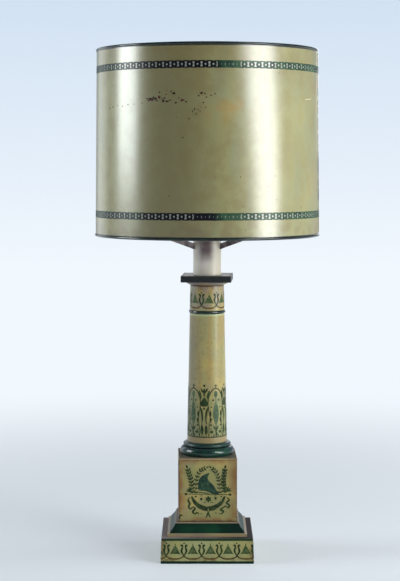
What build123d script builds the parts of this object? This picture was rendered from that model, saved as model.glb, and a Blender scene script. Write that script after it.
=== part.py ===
"""Neoclassical column table lamp in painted tin, with a drum shade on a sliding collar.

Millimetres, +Z up. The origin is the middle of the underside, on the table top; -Y is the front.
Every storey of the stand is threaded over one lamp pipe, which a nut at each end pulls together.
"""
from build123d import *
from math import atan, cos, degrees, radians, sin, tan
import os

os.makedirs("parts", exist_ok=True)

# ---------------------------------------------------------------- sheet, fits and clearances
tin = 0.8                    # tinplate of the stand
shade_tin = 0.5              # tinplate of the shade
solder_gap = 0.05            # between pieces that are soldered or pressed together
loose_gap = 0.3              # between pieces that are only stacked inside each other
slide_clearance = 0.08       # collar on candle tube, radial
turning_clearance = 0.05     # switch stem and clamp screw in their bores, radial
edge_break = 0.5             # chamfer on folded and moulded edges

# ---------------------------------------------------------------- lamp pipe and its hardware
pipe_diameter = 10.0
pipe_bore = 7.4
pipe_hole = pipe_diameter + 2 * loose_gap
nut_flats = 15.0
nut_height = 4.5
pipe_end = 2.0               # pipe standing below the bottom nut
washer_diameter = 32.0
washer_thickness = 2.0

# ---------------------------------------------------------------- felt, plinth and base moulding
felt_thickness = 1.2
felt_inset = 0.6
plinth_side = 137.0
plinth_top_side = 134.4
plinth_height = 36.5
plinth_hem = 7.0             # tin folded in under the plinth, on which the felt is glued
weight_side = 116.0
weight_thickness = 17.0
weight_bevel = 3.0
cord_hole_diameter = 12.0
cord_hole_lift = 9.5         # centre of the cord inlet above the plinth's lower edge
bushing_bore = 7.0
bushing_flange_diameter = 16.0
bushing_flange = 1.8
bushing_lip = 1.5            # inner flange standing wider than the hole
bushing_play = 0.35          # play of the sloping wall in the bushing's groove
moulding_side = 117.0
ogee_side = 110.6            # the hollow starts inside the edge of the lower fillet
moulding_top_side = 94.6
lower_fillet = 4.5
ogee_height = 13.3
upper_fillet = 2.0
upper_fillet_side = 92.4

# ---------------------------------------------------------------- pedestal die
die_side = 86.0
die_height = 94.0
die_turn = 1.5               # degrees that the die has settled round the pipe

# ---------------------------------------------------------------- column
torus_diameter = 80.4
torus_foot = 2.2             # tuck of the torus at its lower edge
torus_shoulder = 5.0         # tuck at its upper edge
torus_height = 12.8
roll_diameter = 71.0
roll_height = 5.8
foot_cone_diameter = 64.0
foot_cone_height = 1.2
shaft_ledge = 0.6            # step from the foot's cone in to the shaft
shaft_diameter = 59.4
shaft_top_diameter = 50.0
shaft_height = 233.7
disc_flange = 5.0            # turned-up rim of the end discs
astragal_lift = 194.2        # centre of the ring above the foot of the shaft
astragal_height = 5.0
astragal_proud = 1.3
echinus_diameter = 66.0
echinus_height = 5.8
abacus_side = 74.0
abacus_height = 9.4
abacus_turn = -3.4           # degrees that the abacus has settled round the pipe

# ---------------------------------------------------------------- candle tube
tube_diameter = 41.3
tube_height = 84.8
tube_seat_height = 6.0
tube_cap_overhang = 0.8
tube_cap_thickness = 1.4
tube_cap_spigot = 5.0

# ---------------------------------------------------------------- lampholder (standard medium screw)
bush_diameter = 15.0
bush_height = 7.0
pipe_engagement = 5.0        # pipe screwed into the lampholder's bush
brass = 0.6                  # sheet of the lampholder's cap and shell
cap_rim_diameter = 36.4
cap_dome_height = 12.0
cap_rim_height = 5.0
shell_length = 42.0
shell_lap = 4.0              # shell pushed down inside the cap
shell_lip = 0.9              # rolled lip standing out round the shell's mouth
shell_lip_height = 1.6
liner_thickness = 0.5
core_diameter = 30.4
core_height = 15.0
screw_shell_bore = 26.7
screw_shell_length = 22.0
contact_width = 6.0
contact_spring = 3.6         # height of the bent centre contact
contact_thickness = 0.5
terminal_spacing = 19.0
terminal_head = 5.6
terminal_head_height = 1.5
terminal_shank = 3.0
terminal_depth = 5.0
stem_diameter = 4.0
stem_reach = 25.0            # from the lampholder's axis to the key's blade
stem_depth = 8.0             # inner end of the stem, from the axis
stem_height = 9.0            # stem above the underside of the core
key_width = 17.0
key_height = 9.0
key_thickness = 3.2

# ---------------------------------------------------------------- bulb
bulb_diameter = 60.0
bulb_length = 106.0
bulb_glass_wall = 0.8
bulb_cap_diameter = 26.0
bulb_cap_length = 22.0
bulb_button = 3.2            # insulator and centre contact under the cap
bulb_cap_wall = 0.4
mount_post = 8.0             # glass stem diameter
mount_height = 44.0          # filament above the cap's lower edge
filament_span = 22.0
wire_diameter = 0.8
wire_sides = 6               # facets of the thin wires inside the bulb

# ---------------------------------------------------------------- shade and its carrier
shade_lift = 57.8            # shade's lower edge above the abacus
shade_height = 273.0
shade_diameter = 330.0
shade_taper = 6.0            # narrower across the top than across the bottom
rim_bead = 4.2               # diameter of the wired edges
rim_proud = 1.0              # bead standing outside the wall
seam_lap = 9.0
seam_azimuth = -7.0           # the lap faces right and a little forwards
collar_lift = 37.8           # collar's lower edge above the abacus
collar_height = 9.0
collar_wall = 1.2
arm_count = 3
arm_first = 90.0             # azimuth of the rear arm
arm_slope = 19.0
arm_depth = 8.4              # height of the bar, measured upright
arm_thickness = 2.2
arm_foot_width = 18.0
arm_foot_height = 12.0
arm_foot_thickness = 1.2
screw_azimuth = 116.0
screw_diameter = 4.0
screw_boss_diameter = 8.0
screw_boss_reach = 4.5       # boss standing out of the collar
screw_neck = 2.0             # bare shank between boss and head
screw_head_diameter = 10.0
screw_head_length = 6.0
screw_flutes = 6
screw_flute_radius = 1.3
screw_tip_gap = 0.08         # tip backed just off the candle tube

# ---------------------------------------------------------------- levels worked out from the storeys
plinth_bottom = felt_thickness
plinth_top = plinth_bottom + plinth_height
moulding_top = plinth_top + lower_fillet + ogee_height + upper_fillet
die_top = moulding_top + die_height
shaft_bottom = die_top + torus_height + roll_height + foot_cone_height
shaft_top = shaft_bottom + shaft_height
abacus_bottom = shaft_top + echinus_height
abacus_top = abacus_bottom + abacus_height
tube_top = abacus_top + tube_height
tube_cap_top = tube_top + tube_cap_thickness
socket_bottom = tube_cap_top + nut_height
cap_dome_bottom = socket_bottom + bush_height
cap_rim_bottom = cap_dome_bottom + cap_dome_height
cap_rim_top = cap_rim_bottom + cap_rim_height
shell_bottom = cap_rim_top - shell_lap
shell_top = shell_bottom + shell_length
core_bottom = shell_bottom + loose_gap
core_top = core_bottom + core_height
bulb_bottom = core_top + contact_spring
bulb_cap_bottom = bulb_bottom + bulb_button
bulb_cap_top = bulb_cap_bottom + bulb_cap_length
bulb_top = bulb_bottom + bulb_length
stem_level = core_bottom + stem_height
weight_top = plinth_top - tin
weight_bottom = weight_top - weight_thickness
bottom_nut_top = weight_bottom - washer_thickness
pipe_bottom = bottom_nut_top - nut_height - pipe_end
pipe_top = socket_bottom + pipe_engagement
shade_bottom = abacus_top + shade_lift
shade_top = shade_bottom + shade_height
shade_top_diameter = shade_diameter - shade_taper
collar_bottom = abacus_top + collar_lift
collar_radius = tube_diameter / 2 + slide_clearance + collar_wall


def shaft_radius(z):
    """Outside radius of the tapered shaft at height z."""
    share = (z - shaft_bottom) / shaft_height
    return (shaft_diameter + (shaft_top_diameter - shaft_diameter) * share) / 2


def shade_radius(z):
    """Outside radius of the shade's wall at height z."""
    share = (z - shade_bottom) / shade_height
    return (shade_diameter + (shade_top_diameter - shade_diameter) * share) / 2


def radial_plane(azimuth):
    """Upright plane through the lamp's axis: local X points outwards, local Y points up."""
    turn = radians(azimuth)
    return Plane(origin=(0, 0, 0), x_dir=(cos(turn), sin(turn), 0), z_dir=(sin(turn), -cos(turn), 0))


# ================================================================ base
with BuildPart() as felt_pad:
    with BuildSketch():
        Rectangle(plinth_side - 2 * felt_inset, plinth_side - 2 * felt_inset)
    extrude(amount=felt_thickness)
felt_pad.part.label = "felt_pad"
export_step(felt_pad.part, "parts/felt_pad.step")

# The plinth is a flared box without a floor: its lower edge is folded in as a hem.
plinth_taper = degrees(atan((plinth_side - plinth_top_side) / 2 / plinth_height))
cord_hole_level = plinth_bottom + cord_hole_lift
cord_hole_wall = plinth_side / 2 - cord_hole_lift * tan(radians(plinth_taper))
with BuildPart() as plinth_box:
    with BuildSketch(Plane.XY.offset(plinth_bottom)):
        Rectangle(plinth_side, plinth_side)
    extrude(amount=plinth_height, taper=plinth_taper)
    chamfer(plinth_box.faces().sort_by(Axis.Z)[-1].edges(), edge_break)
    with BuildSketch(Plane.XY.offset(plinth_bottom)):
        Rectangle(plinth_side - 2 * plinth_hem, plinth_side - 2 * plinth_hem)
    extrude(amount=tin, mode=Mode.SUBTRACT)
    with BuildSketch(Plane.XY.offset(plinth_bottom + tin)):
        Rectangle(plinth_side - 2 * tin, plinth_side - 2 * tin)
    extrude(amount=plinth_height - 2 * tin, taper=plinth_taper, mode=Mode.SUBTRACT)
    with BuildSketch(Plane.XY.offset(plinth_bottom)):
        Circle(pipe_hole / 2)
    extrude(amount=plinth_height, mode=Mode.SUBTRACT)
    with BuildSketch(Plane.XZ.offset(-plinth_side / 2)):
        with Locations((0, cord_hole_level)):
            Circle(cord_hole_diameter / 2)
    extrude(amount=plinth_hem, mode=Mode.SUBTRACT)
plinth_box.part.label = "plinth_box"
export_step(plinth_box.part, "parts/plinth_box.step")

# The inlet where a cord would enter, at the back of the plinth: a grooved bushing.
bushing_outer = cord_hole_wall + bushing_flange
bushing_inner = cord_hole_wall - tin - bushing_play - bushing_flange
with BuildPart() as cord_bushing:
    with BuildSketch(Plane.XZ.offset(-bushing_outer)):
        with Locations((0, cord_hole_level)):
            Circle(bushing_flange_diameter / 2)
    extrude(amount=bushing_flange - bushing_play)
    with BuildSketch(Plane.XZ.offset(-bushing_outer)):
        with Locations((0, cord_hole_level)):
            Circle(cord_hole_diameter / 2 - solder_gap)
    extrude(amount=bushing_outer - bushing_inner)
    with BuildSketch(Plane.XZ.offset(-bushing_inner - bushing_flange)):
        with Locations((0, cord_hole_level)):
            Circle(cord_hole_diameter / 2 + bushing_lip)
    extrude(amount=bushing_flange)
    chamfer(cord_bushing.edges().filter_by(GeomType.CIRCLE).sort_by(Axis.Y)[-1], edge_break)
    with BuildSketch(Plane.XZ.offset(-bushing_outer)):
        with Locations((0, cord_hole_level)):
            Circle(bushing_bore / 2)
    extrude(amount=bushing_outer - bushing_inner, mode=Mode.SUBTRACT)
cord_bushing.part.label = "cord_bushing"
export_step(cord_bushing.part, "parts/cord_bushing.step")

with BuildPart() as base_weight:
    with BuildSketch(Plane.XY.offset(weight_bottom)):
        Rectangle(weight_side, weight_side)
    extrude(amount=weight_thickness)
    chamfer(base_weight.edges().group_by(Axis.Z)[0], weight_bevel)
    with BuildSketch(Plane.XY.offset(weight_bottom)):
        Circle(pipe_hole / 2)
    extrude(amount=weight_thickness, mode=Mode.SUBTRACT)
base_weight.part.label = "base_weight"
export_step(base_weight.part, "parts/base_weight.step")

with BuildPart() as bottom_washer:
    with BuildSketch(Plane.XY.offset(bottom_nut_top)):
        Circle(washer_diameter / 2)
        Circle(pipe_hole / 2, mode=Mode.SUBTRACT)
    extrude(amount=washer_thickness)
bottom_washer.part.label = "bottom_washer"
export_step(bottom_washer.part, "parts/bottom_washer.step")

# The two nuts that pull the stand together: one under the weight, one on the tube's cap.
nut_levels = {"bottom_nut": bottom_nut_top - nut_height, "top_nut": tube_cap_top}
for node, level in nut_levels.items():
    with BuildPart() as nut:
        with BuildSketch(Plane.XY.offset(level)):
            RegularPolygon(nut_flats / 2, 6, major_radius=False)
            Circle(pipe_diameter / 2 + solder_gap, mode=Mode.SUBTRACT)
        extrude(amount=nut_height)
    nut.part.label = node
    export_step(nut.part, f"parts/{node}.step")

with BuildPart() as lamp_pipe:
    with BuildSketch(Plane.XY.offset(pipe_bottom)):
        Circle(pipe_diameter / 2)
        Circle(pipe_bore / 2, mode=Mode.SUBTRACT)
    extrude(amount=pipe_top - pipe_bottom)
lamp_pipe.part.label = "lamp_pipe"
export_step(lamp_pipe.part, "parts/lamp_pipe.step")


# The moulding's section is drawn once. Extruded both ways and intersected, it mitres itself.
def moulding_section(inset):
    """Section of the base moulding, drawn inset by the thickness of the tin."""
    fillet_half = moulding_side / 2 - inset
    hollow_half = ogee_side / 2 - inset
    shoulder_half = moulding_top_side / 2 - inset
    top_half = upper_fillet_side / 2 - inset
    ogee_start = plinth_top + lower_fillet - inset
    ogee_end = ogee_start + ogee_height
    run = hollow_half - shoulder_half
    with BuildSketch() as section:
        with BuildLine():
            start = Line((-fillet_half, plinth_top), (-fillet_half, ogee_start))
            ledge = Line(start @ 1, (-hollow_half, ogee_start))
            hollow = Spline(
                ledge @ 1,
                (-hollow_half + run * 0.42, ogee_start + ogee_height * 0.4),
                (-shoulder_half, ogee_end),
                tangents=((0.35, 1), (0.12, 1)),
            )
            shoulder = Line(hollow @ 1, (-top_half, ogee_end))
            riser = Line(shoulder @ 1, (-top_half, moulding_top - inset))
            Line(riser @ 1, (0, moulding_top - inset))
            Line((0, moulding_top - inset), (0, plinth_top))
            Line((0, plinth_top), start @ 0)
        make_face()
        mirror(about=Plane.YZ)
    return section.sketch_local


moulding_outside = moulding_section(0)
moulding_inside = moulding_section(tin)
with BuildPart() as moulding_hollow:
    with BuildSketch(Plane.XZ):
        add(moulding_inside)
    extrude(amount=moulding_side, both=True)
    with BuildSketch(Plane.YZ):
        add(moulding_inside)
    extrude(amount=moulding_side, both=True, mode=Mode.INTERSECT)

with BuildPart() as base_moulding:
    with BuildSketch(Plane.XZ):
        add(moulding_outside)
    extrude(amount=moulding_side, both=True)
    with BuildSketch(Plane.YZ):
        add(moulding_outside)
    extrude(amount=moulding_side, both=True, mode=Mode.INTERSECT)
    add(moulding_hollow.part, mode=Mode.SUBTRACT)
    with BuildSketch(Plane.XY.offset(plinth_top)):
        Circle(pipe_hole / 2)
    extrude(amount=moulding_top - plinth_top, mode=Mode.SUBTRACT)
base_moulding.part.label = "base_moulding"
export_step(base_moulding.part, "parts/base_moulding.step")

# ================================================================ pedestal
with BuildPart() as pedestal_die:
    with BuildSketch(Plane.XY.offset(moulding_top)):
        Rectangle(die_side, die_side, rotation=die_turn)
    extrude(amount=die_height)
    chamfer(pedestal_die.edges().filter_by(Axis.Z), edge_break)
    chamfer(pedestal_die.edges().group_by(Axis.Z)[-1], edge_break)
    with BuildSketch(Plane.XY.offset(moulding_top)):
        Rectangle(die_side - 2 * tin, die_side - 2 * tin, rotation=die_turn)
    extrude(amount=die_height - tin, mode=Mode.SUBTRACT)
    with BuildSketch(Plane.XY.offset(moulding_top)):
        Circle(pipe_hole / 2)
    extrude(amount=die_height, mode=Mode.SUBTRACT)
pedestal_die.part.label = "pedestal_die"
export_step(pedestal_die.part, "parts/pedestal_die.step")

# ================================================================ column
# Foot of the column: a torus, a smaller roll and a short cone, spun in one piece.
roll_bottom = die_top + torus_height
cone_bottom = roll_bottom + roll_height
scotia_radius = foot_cone_diameter / 2 + 1.4
with BuildPart() as column_foot:
    with BuildSketch(Plane.XZ):
        with BuildLine():
            torus_low = (torus_diameter / 2 - torus_foot, die_top)
            torus_high = (torus_diameter / 2 - torus_shoulder, roll_bottom)
            Line((pipe_hole / 2, die_top), torus_low)
            ThreePointArc(torus_low, (torus_diameter / 2, die_top + torus_height * 0.4), torus_high)
            Line(torus_high, (scotia_radius, roll_bottom))
            roll_mid = (roll_diameter / 2, roll_bottom + roll_height / 2)
            ThreePointArc((scotia_radius, roll_bottom), roll_mid, (scotia_radius, cone_bottom))
            Line((scotia_radius, cone_bottom), (foot_cone_diameter / 2, cone_bottom))
            Line((foot_cone_diameter / 2, cone_bottom), (shaft_diameter / 2 + shaft_ledge, shaft_bottom))
            Line((shaft_diameter / 2 + shaft_ledge, shaft_bottom), (pipe_hole / 2, shaft_bottom))
            Line((pipe_hole / 2, shaft_bottom), (pipe_hole / 2, die_top))
        make_face()
    revolve(axis=Axis.Z)
    with BuildSketch(Plane.XY.offset(die_top)):
        Circle(shaft_diameter / 2 - tin)
    extrude(amount=shaft_bottom - tin - die_top, mode=Mode.SUBTRACT)
column_foot.part.label = "column_foot"
export_step(column_foot.part, "parts/column_foot.step")

# The shaft is one rolled and soldered tube, open at both ends.
with BuildPart() as column_shaft:
    with BuildSketch(Plane.XZ):
        Polygon(
            (shaft_diameter / 2 - tin, shaft_bottom),
            (shaft_diameter / 2, shaft_bottom),
            (shaft_top_diameter / 2, shaft_top),
            (shaft_top_diameter / 2 - tin, shaft_top),
            align=None,
        )
    revolve(axis=Axis.Z)
column_shaft.part.label = "column_shaft"
export_step(column_shaft.part, "parts/column_shaft.step")

# A flanged disc is soldered into each end of the shaft and centres it on the pipe.
disc_levels = {"shaft_disc_lower": (shaft_bottom, 1), "shaft_disc_upper": (shaft_top, -1)}
for node, (level, inwards) in disc_levels.items():
    flange_end = level + inwards * disc_flange
    rim_radius = min(shaft_radius(level), shaft_radius(flange_end)) - tin - solder_gap
    with BuildPart() as disc:
        with BuildSketch(Plane.XZ):
            Polygon(
                (pipe_hole / 2, level),
                (rim_radius, level),
                (rim_radius, flange_end),
                (rim_radius - tin, flange_end),
                (rim_radius - tin, level + inwards * tin),
                (pipe_hole / 2, level + inwards * tin),
                align=None,
            )
        revolve(axis=Axis.Z)
    disc.part.label = node
    export_step(disc.part, f"parts/{node}.step")

astragal_level = shaft_bottom + astragal_lift
astragal_low = astragal_level - astragal_height / 2
astragal_high = astragal_level + astragal_height / 2
with BuildPart() as astragal_ring:
    with BuildSketch(Plane.XZ):
        with BuildLine():
            low = (shaft_radius(astragal_low) + solder_gap, astragal_low)
            high = (shaft_radius(astragal_high) + solder_gap, astragal_high)
            middle = (shaft_radius(astragal_level) + astragal_proud + solder_gap, astragal_level)
            ThreePointArc(low, middle, high)
            Line(high, low)
        make_face()
    revolve(axis=Axis.Z)
astragal_ring.part.label = "astragal_ring"
export_step(astragal_ring.part, "parts/astragal_ring.step")

# The echinus swells in a round curve from the shaft to the abacus.
with BuildPart() as echinus:
    with BuildSketch(Plane.XZ):
        with BuildLine():
            neck = (shaft_top_diameter / 2, shaft_top)
            lip = (echinus_diameter / 2, abacus_bottom - tin)
            Spline(neck, lip, tangents=((1, 0.45), (0.8, 1)))
            Line(lip, (echinus_diameter / 2, abacus_bottom))
            Line((echinus_diameter / 2, abacus_bottom), (pipe_hole / 2, abacus_bottom))
            Line((pipe_hole / 2, abacus_bottom), (pipe_hole / 2, shaft_top))
            Line((pipe_hole / 2, shaft_top), neck)
        make_face()
    revolve(axis=Axis.Z)
echinus.part.label = "echinus"
export_step(echinus.part, "parts/echinus.step")

with BuildPart() as abacus:
    with BuildSketch(Plane.XY.offset(abacus_bottom)):
        Rectangle(abacus_side, abacus_side, rotation=abacus_turn)
    extrude(amount=abacus_height)
    chamfer(abacus.edges(), edge_break)
    with BuildSketch(Plane.XY.offset(abacus_bottom + tin)):
        Rectangle(abacus_side - 2 * tin, abacus_side - 2 * tin, rotation=abacus_turn)
    extrude(amount=abacus_height - 2 * tin, mode=Mode.SUBTRACT)
    with BuildSketch(Plane.XY.offset(abacus_bottom)):
        Circle(pipe_hole / 2)
    extrude(amount=abacus_height, mode=Mode.SUBTRACT)
abacus.part.label = "abacus"
export_step(abacus.part, "parts/abacus.step")

# ================================================================ candle tube
tube_bore = tube_diameter - 2 * tin
with BuildPart() as candle_tube:
    with BuildSketch(Plane.XY.offset(abacus_top)):
        Circle(tube_diameter / 2)
        Circle(tube_bore / 2, mode=Mode.SUBTRACT)
    extrude(amount=tube_height)
candle_tube.part.label = "candle_tube"
export_step(candle_tube.part, "parts/candle_tube.step")

# A flanged seat on the abacus keeps the foot of the tube central.
with BuildPart() as tube_seat:
    with BuildSketch(Plane.XY.offset(abacus_top)):
        Circle(tube_bore / 2 - solder_gap)
    extrude(amount=tube_seat_height)
    with BuildSketch(Plane.XY.offset(abacus_top + tin)):
        Circle(tube_bore / 2 - solder_gap - tin)
    extrude(amount=tube_seat_height - tin, mode=Mode.SUBTRACT)
    with BuildSketch(Plane.XY.offset(abacus_top)):
        Circle(pipe_hole / 2)
    extrude(amount=tin, mode=Mode.SUBTRACT)
tube_seat.part.label = "tube_seat"
export_step(tube_seat.part, "parts/tube_seat.step")

with BuildPart() as tube_cap:
    with BuildSketch(Plane.XY.offset(tube_top)):
        Circle(tube_diameter / 2 + tube_cap_overhang)
    extrude(amount=tube_cap_thickness)
    chamfer(tube_cap.edges().sort_by(Axis.Z)[-1], edge_break)
    with BuildSketch(Plane.XY.offset(tube_top - tube_cap_spigot)):
        Circle(tube_bore / 2 - solder_gap)
        Circle(tube_bore / 2 - solder_gap - tin, mode=Mode.SUBTRACT)
    extrude(amount=tube_cap_spigot)
    with BuildSketch(Plane.XY.offset(tube_top)):
        Circle(pipe_hole / 2)
    extrude(amount=tube_cap_thickness, mode=Mode.SUBTRACT)
tube_cap.part.label = "tube_cap"
export_step(tube_cap.part, "parts/tube_cap.step")

# ================================================================ lampholder
cap_rim_radius = cap_rim_diameter / 2
shell_radius = cap_rim_radius - brass - solder_gap
with BuildPart() as socket_cap:
    with BuildSketch(Plane.XZ):
        with BuildLine():
            bush_top = (bush_diameter / 2, cap_dome_bottom)
            rim_foot = (cap_rim_radius, cap_rim_bottom)
            Polyline((pipe_diameter / 2 + solder_gap, socket_bottom), (bush_diameter / 2, socket_bottom), bush_top)
            Spline(bush_top, rim_foot, tangents=((1, 0.2), (0.05, 1)))
            Polyline(
                rim_foot,
                (cap_rim_radius, cap_rim_top),
                (cap_rim_radius - brass, cap_rim_top),
                (cap_rim_radius - brass, cap_rim_bottom),
            )
            inner_foot = (cap_rim_radius - brass, cap_rim_bottom)
            inner_neck = (bush_diameter / 2, cap_dome_bottom + brass)
            Spline(inner_foot, inner_neck, tangents=((-0.05, -1), (-1, -0.2)))
            Polyline(
                inner_neck,
                (pipe_diameter / 2 + solder_gap, cap_dome_bottom + brass),
                (pipe_diameter / 2 + solder_gap, socket_bottom),
            )
        make_face()
    revolve(axis=Axis.Z)
socket_cap.part.label = "socket_cap"
export_step(socket_cap.part, "parts/socket_cap.step")

with BuildPart() as socket_shell:
    with BuildSketch(Plane.XY.offset(shell_bottom)):
        Circle(shell_radius)
    extrude(amount=shell_length)
    with BuildSketch(Plane.XY.offset(shell_top - shell_lip_height)):
        Circle(shell_radius + shell_lip)
    extrude(amount=shell_lip_height)
    chamfer(socket_shell.edges().filter_by(GeomType.CIRCLE).group_by(SortBy.RADIUS)[-1], shell_lip / 2)
    with BuildSketch(Plane.XY.offset(shell_bottom)):
        Circle(shell_radius - brass)
    extrude(amount=shell_length, mode=Mode.SUBTRACT)
    with BuildSketch(Plane.XZ):
        with Locations((0, stem_level)):
            Circle(stem_diameter / 2 + loose_gap)
    extrude(amount=cap_rim_diameter, mode=Mode.SUBTRACT)
socket_shell.part.label = "socket_shell"
export_step(socket_shell.part, "parts/socket_shell.step")

liner_radius = shell_radius - brass - solder_gap
with BuildPart() as socket_liner:
    with BuildSketch(Plane.XY.offset(core_bottom)):
        Circle(liner_radius)
        Circle(liner_radius - liner_thickness, mode=Mode.SUBTRACT)
    extrude(amount=shell_length - shell_lip_height - loose_gap)
    with BuildSketch(Plane.XZ):
        with Locations((0, stem_level)):
            Circle(stem_diameter / 2 + loose_gap)
    extrude(amount=cap_rim_diameter, mode=Mode.SUBTRACT)
socket_liner.part.label = "socket_liner"
export_step(socket_liner.part, "parts/socket_liner.step")

# The moulded core carries the contacts and holds the stem of the switch.
with BuildPart() as socket_core:
    with BuildSketch(Plane.XY.offset(core_bottom)):
        Circle(core_diameter / 2)
    extrude(amount=core_height)
    chamfer(socket_core.edges().group_by(Axis.Z)[0], edge_break)
    with BuildSketch(Plane.XZ.offset(stem_depth)):
        with Locations((0, stem_level)):
            Circle(stem_diameter / 2 + turning_clearance)
    extrude(amount=core_diameter, mode=Mode.SUBTRACT)
    with BuildSketch(Plane.XY.offset(core_bottom)):
        with Locations((terminal_spacing / 2, 0), (-terminal_spacing / 2, 0)):
            Circle(terminal_shank / 2 + solder_gap)
    extrude(amount=terminal_depth, mode=Mode.SUBTRACT)
socket_core.part.label = "socket_core"
export_step(socket_core.part, "parts/socket_core.step")

with BuildPart() as terminal_screws:
    with BuildSketch(Plane.XY.offset(core_bottom - terminal_head_height)):
        with Locations((terminal_spacing / 2, 0), (-terminal_spacing / 2, 0)):
            Circle(terminal_head / 2)
    extrude(amount=terminal_head_height)
    with BuildSketch(Plane.XY.offset(core_bottom)):
        with Locations((terminal_spacing / 2, 0), (-terminal_spacing / 2, 0)):
            Circle(terminal_shank / 2)
    extrude(amount=terminal_depth - loose_gap)
terminal_screws.part.label = "terminal_screws"
export_step(terminal_screws.part, "parts/terminal_screws.step")

with BuildPart() as screw_shell:
    with BuildSketch(Plane.XY.offset(core_top)):
        Circle(screw_shell_bore / 2 + contact_thickness)
        Circle(screw_shell_bore / 2, mode=Mode.SUBTRACT)
    extrude(amount=screw_shell_length)
    with BuildSketch(Plane.XY.offset(core_top)):
        Circle(screw_shell_bore / 2)
        Circle(screw_shell_bore / 2 - 3 * contact_thickness, mode=Mode.SUBTRACT)
    extrude(amount=contact_thickness)
screw_shell.part.label = "screw_shell"
export_step(screw_shell.part, "parts/screw_shell.step")

# The centre contact is a strip bent back over itself, so that it presses on the bulb.
with BuildPart() as centre_contact:
    with BuildSketch(Plane.XZ):
        with BuildLine():
            FilletPolyline(
                (contact_width / 2, core_top + contact_thickness / 2),
                (-contact_width, core_top + contact_thickness / 2),
                (contact_width / 2, core_top + contact_spring - contact_thickness),
                radius=contact_thickness,
            )
        trace(line_width=contact_thickness)
    extrude(amount=contact_width / 2, both=True)
centre_contact.part.label = "centre_contact"
export_step(centre_contact.part, "parts/centre_contact.step")

# The switch key: a flat blade on a stem, which turns in the core.
with BuildPart() as switch_key:
    with BuildSketch(Plane.XY.offset(stem_level)):
        with Locations((0, -stem_reach - key_height / 2)):
            SlotOverall(key_width, key_height)
    extrude(amount=key_thickness / 2, both=True)
    chamfer(switch_key.edges().group_by(Axis.Z)[-1] + switch_key.edges().group_by(Axis.Z)[0], edge_break)
    with BuildSketch(Plane.XZ.offset(stem_depth + turning_clearance)):
        with Locations((0, stem_level)):
            Circle(stem_diameter / 2)
    extrude(amount=stem_reach + key_thickness - stem_depth)
switch_key.part.label = "switch_key"
export_step(switch_key.part, "parts/switch_key.step")

# ================================================================ bulb
bulb_radius = bulb_diameter / 2
bulb_neck_radius = bulb_cap_diameter / 2 - bulb_cap_wall - solder_gap
bulb_middle = bulb_top - bulb_radius
neck_bottom = bulb_cap_top - 0.4 * bulb_cap_length


def bulb_outline(inset):
    """Half outline of the glass, from the cap to the crown, drawn inset by the glass's wall."""
    neck = (bulb_neck_radius - inset, neck_bottom)
    neck_end = (bulb_neck_radius - inset, bulb_cap_top)
    widest = (bulb_radius - inset, bulb_middle)
    slant = (bulb_radius - inset) * cos(radians(45))
    crown = (0, bulb_top - inset)
    with BuildSketch() as outline:
        with BuildLine():
            Line((0, neck_bottom), neck)
            Line(neck, neck_end)
            Spline(neck_end, widest, tangents=((0, 1), (0, 1)))
            ThreePointArc(widest, (slant, bulb_middle + slant), crown)
            Line(crown, (0, neck_bottom))
        make_face()
    return outline.sketch_local


glass_outside = bulb_outline(0)
glass_inside = bulb_outline(bulb_glass_wall)
with BuildPart() as bulb_hollow:
    with BuildSketch(Plane.XZ):
        add(glass_inside)
    revolve(axis=Axis.Z)

with BuildPart() as bulb_glass:
    with BuildSketch(Plane.XZ):
        add(glass_outside)
    revolve(axis=Axis.Z)
    add(bulb_hollow.part, mode=Mode.SUBTRACT)
bulb_glass.part.label = "bulb_glass"
export_step(bulb_glass.part, "parts/bulb_glass.step")

with BuildPart() as bulb_cap:
    with BuildSketch(Plane.XY.offset(bulb_cap_bottom)):
        Circle(bulb_cap_diameter / 2)
        Circle(bulb_cap_diameter / 2 - bulb_cap_wall, mode=Mode.SUBTRACT)
    extrude(amount=bulb_cap_length)
bulb_cap.part.label = "bulb_cap"
export_step(bulb_cap.part, "parts/bulb_cap.step")

# The black insulator closes the cap and carries the centre button.
with BuildPart() as bulb_insulator:
    with BuildSketch(Plane.XZ):
        Polygon(
            (0, bulb_cap_bottom + bulb_button),
            (0, bulb_bottom),
            (contact_width / 2, bulb_bottom),
            (contact_width, bulb_cap_bottom - solder_gap),
            (bulb_cap_diameter / 2 - bulb_cap_wall - solder_gap, bulb_cap_bottom),
            (bulb_cap_diameter / 2 - bulb_cap_wall - solder_gap, bulb_cap_bottom + bulb_button),
            align=None,
        )
    revolve(axis=Axis.Z)
bulb_insulator.part.label = "bulb_insulator"
export_step(bulb_insulator.part, "parts/bulb_insulator.step")

filament_level = bulb_cap_bottom + mount_height
post_top = filament_level - 0.4 * mount_height
with BuildPart() as filament_mount:
    with BuildSketch(Plane.XZ):
        Polygon(
            (0, neck_bottom - bulb_button / 2),
            (bulb_neck_radius - bulb_glass_wall - solder_gap, neck_bottom - bulb_button / 2),
            (bulb_neck_radius - bulb_glass_wall - solder_gap, neck_bottom + bulb_button / 2),
            (mount_post / 2, neck_bottom + bulb_button),
            (mount_post / 4, post_top),
            (0, post_top),
            align=None,
        )
    revolve(axis=Axis.Z)
    with BuildLine() as support_wires:
        Polyline(
            (-filament_span / 2, 0, filament_level),
            (0, 0, post_top - wire_diameter),
            (filament_span / 2, 0, filament_level),
        )
    with BuildSketch(Plane(origin=support_wires.line @ 0, z_dir=support_wires.line % 0)):
        RegularPolygon(wire_diameter / 2, wire_sides)
    sweep(path=support_wires.line, transition=Transition.RIGHT)
    with BuildSketch(Plane.YZ.offset(-filament_span / 2)):
        with Locations((0, filament_level)):
            RegularPolygon(wire_diameter, wire_sides)
    extrude(amount=filament_span)
filament_mount.part.label = "filament_mount"
export_step(filament_mount.part, "parts/filament_mount.step")

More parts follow.
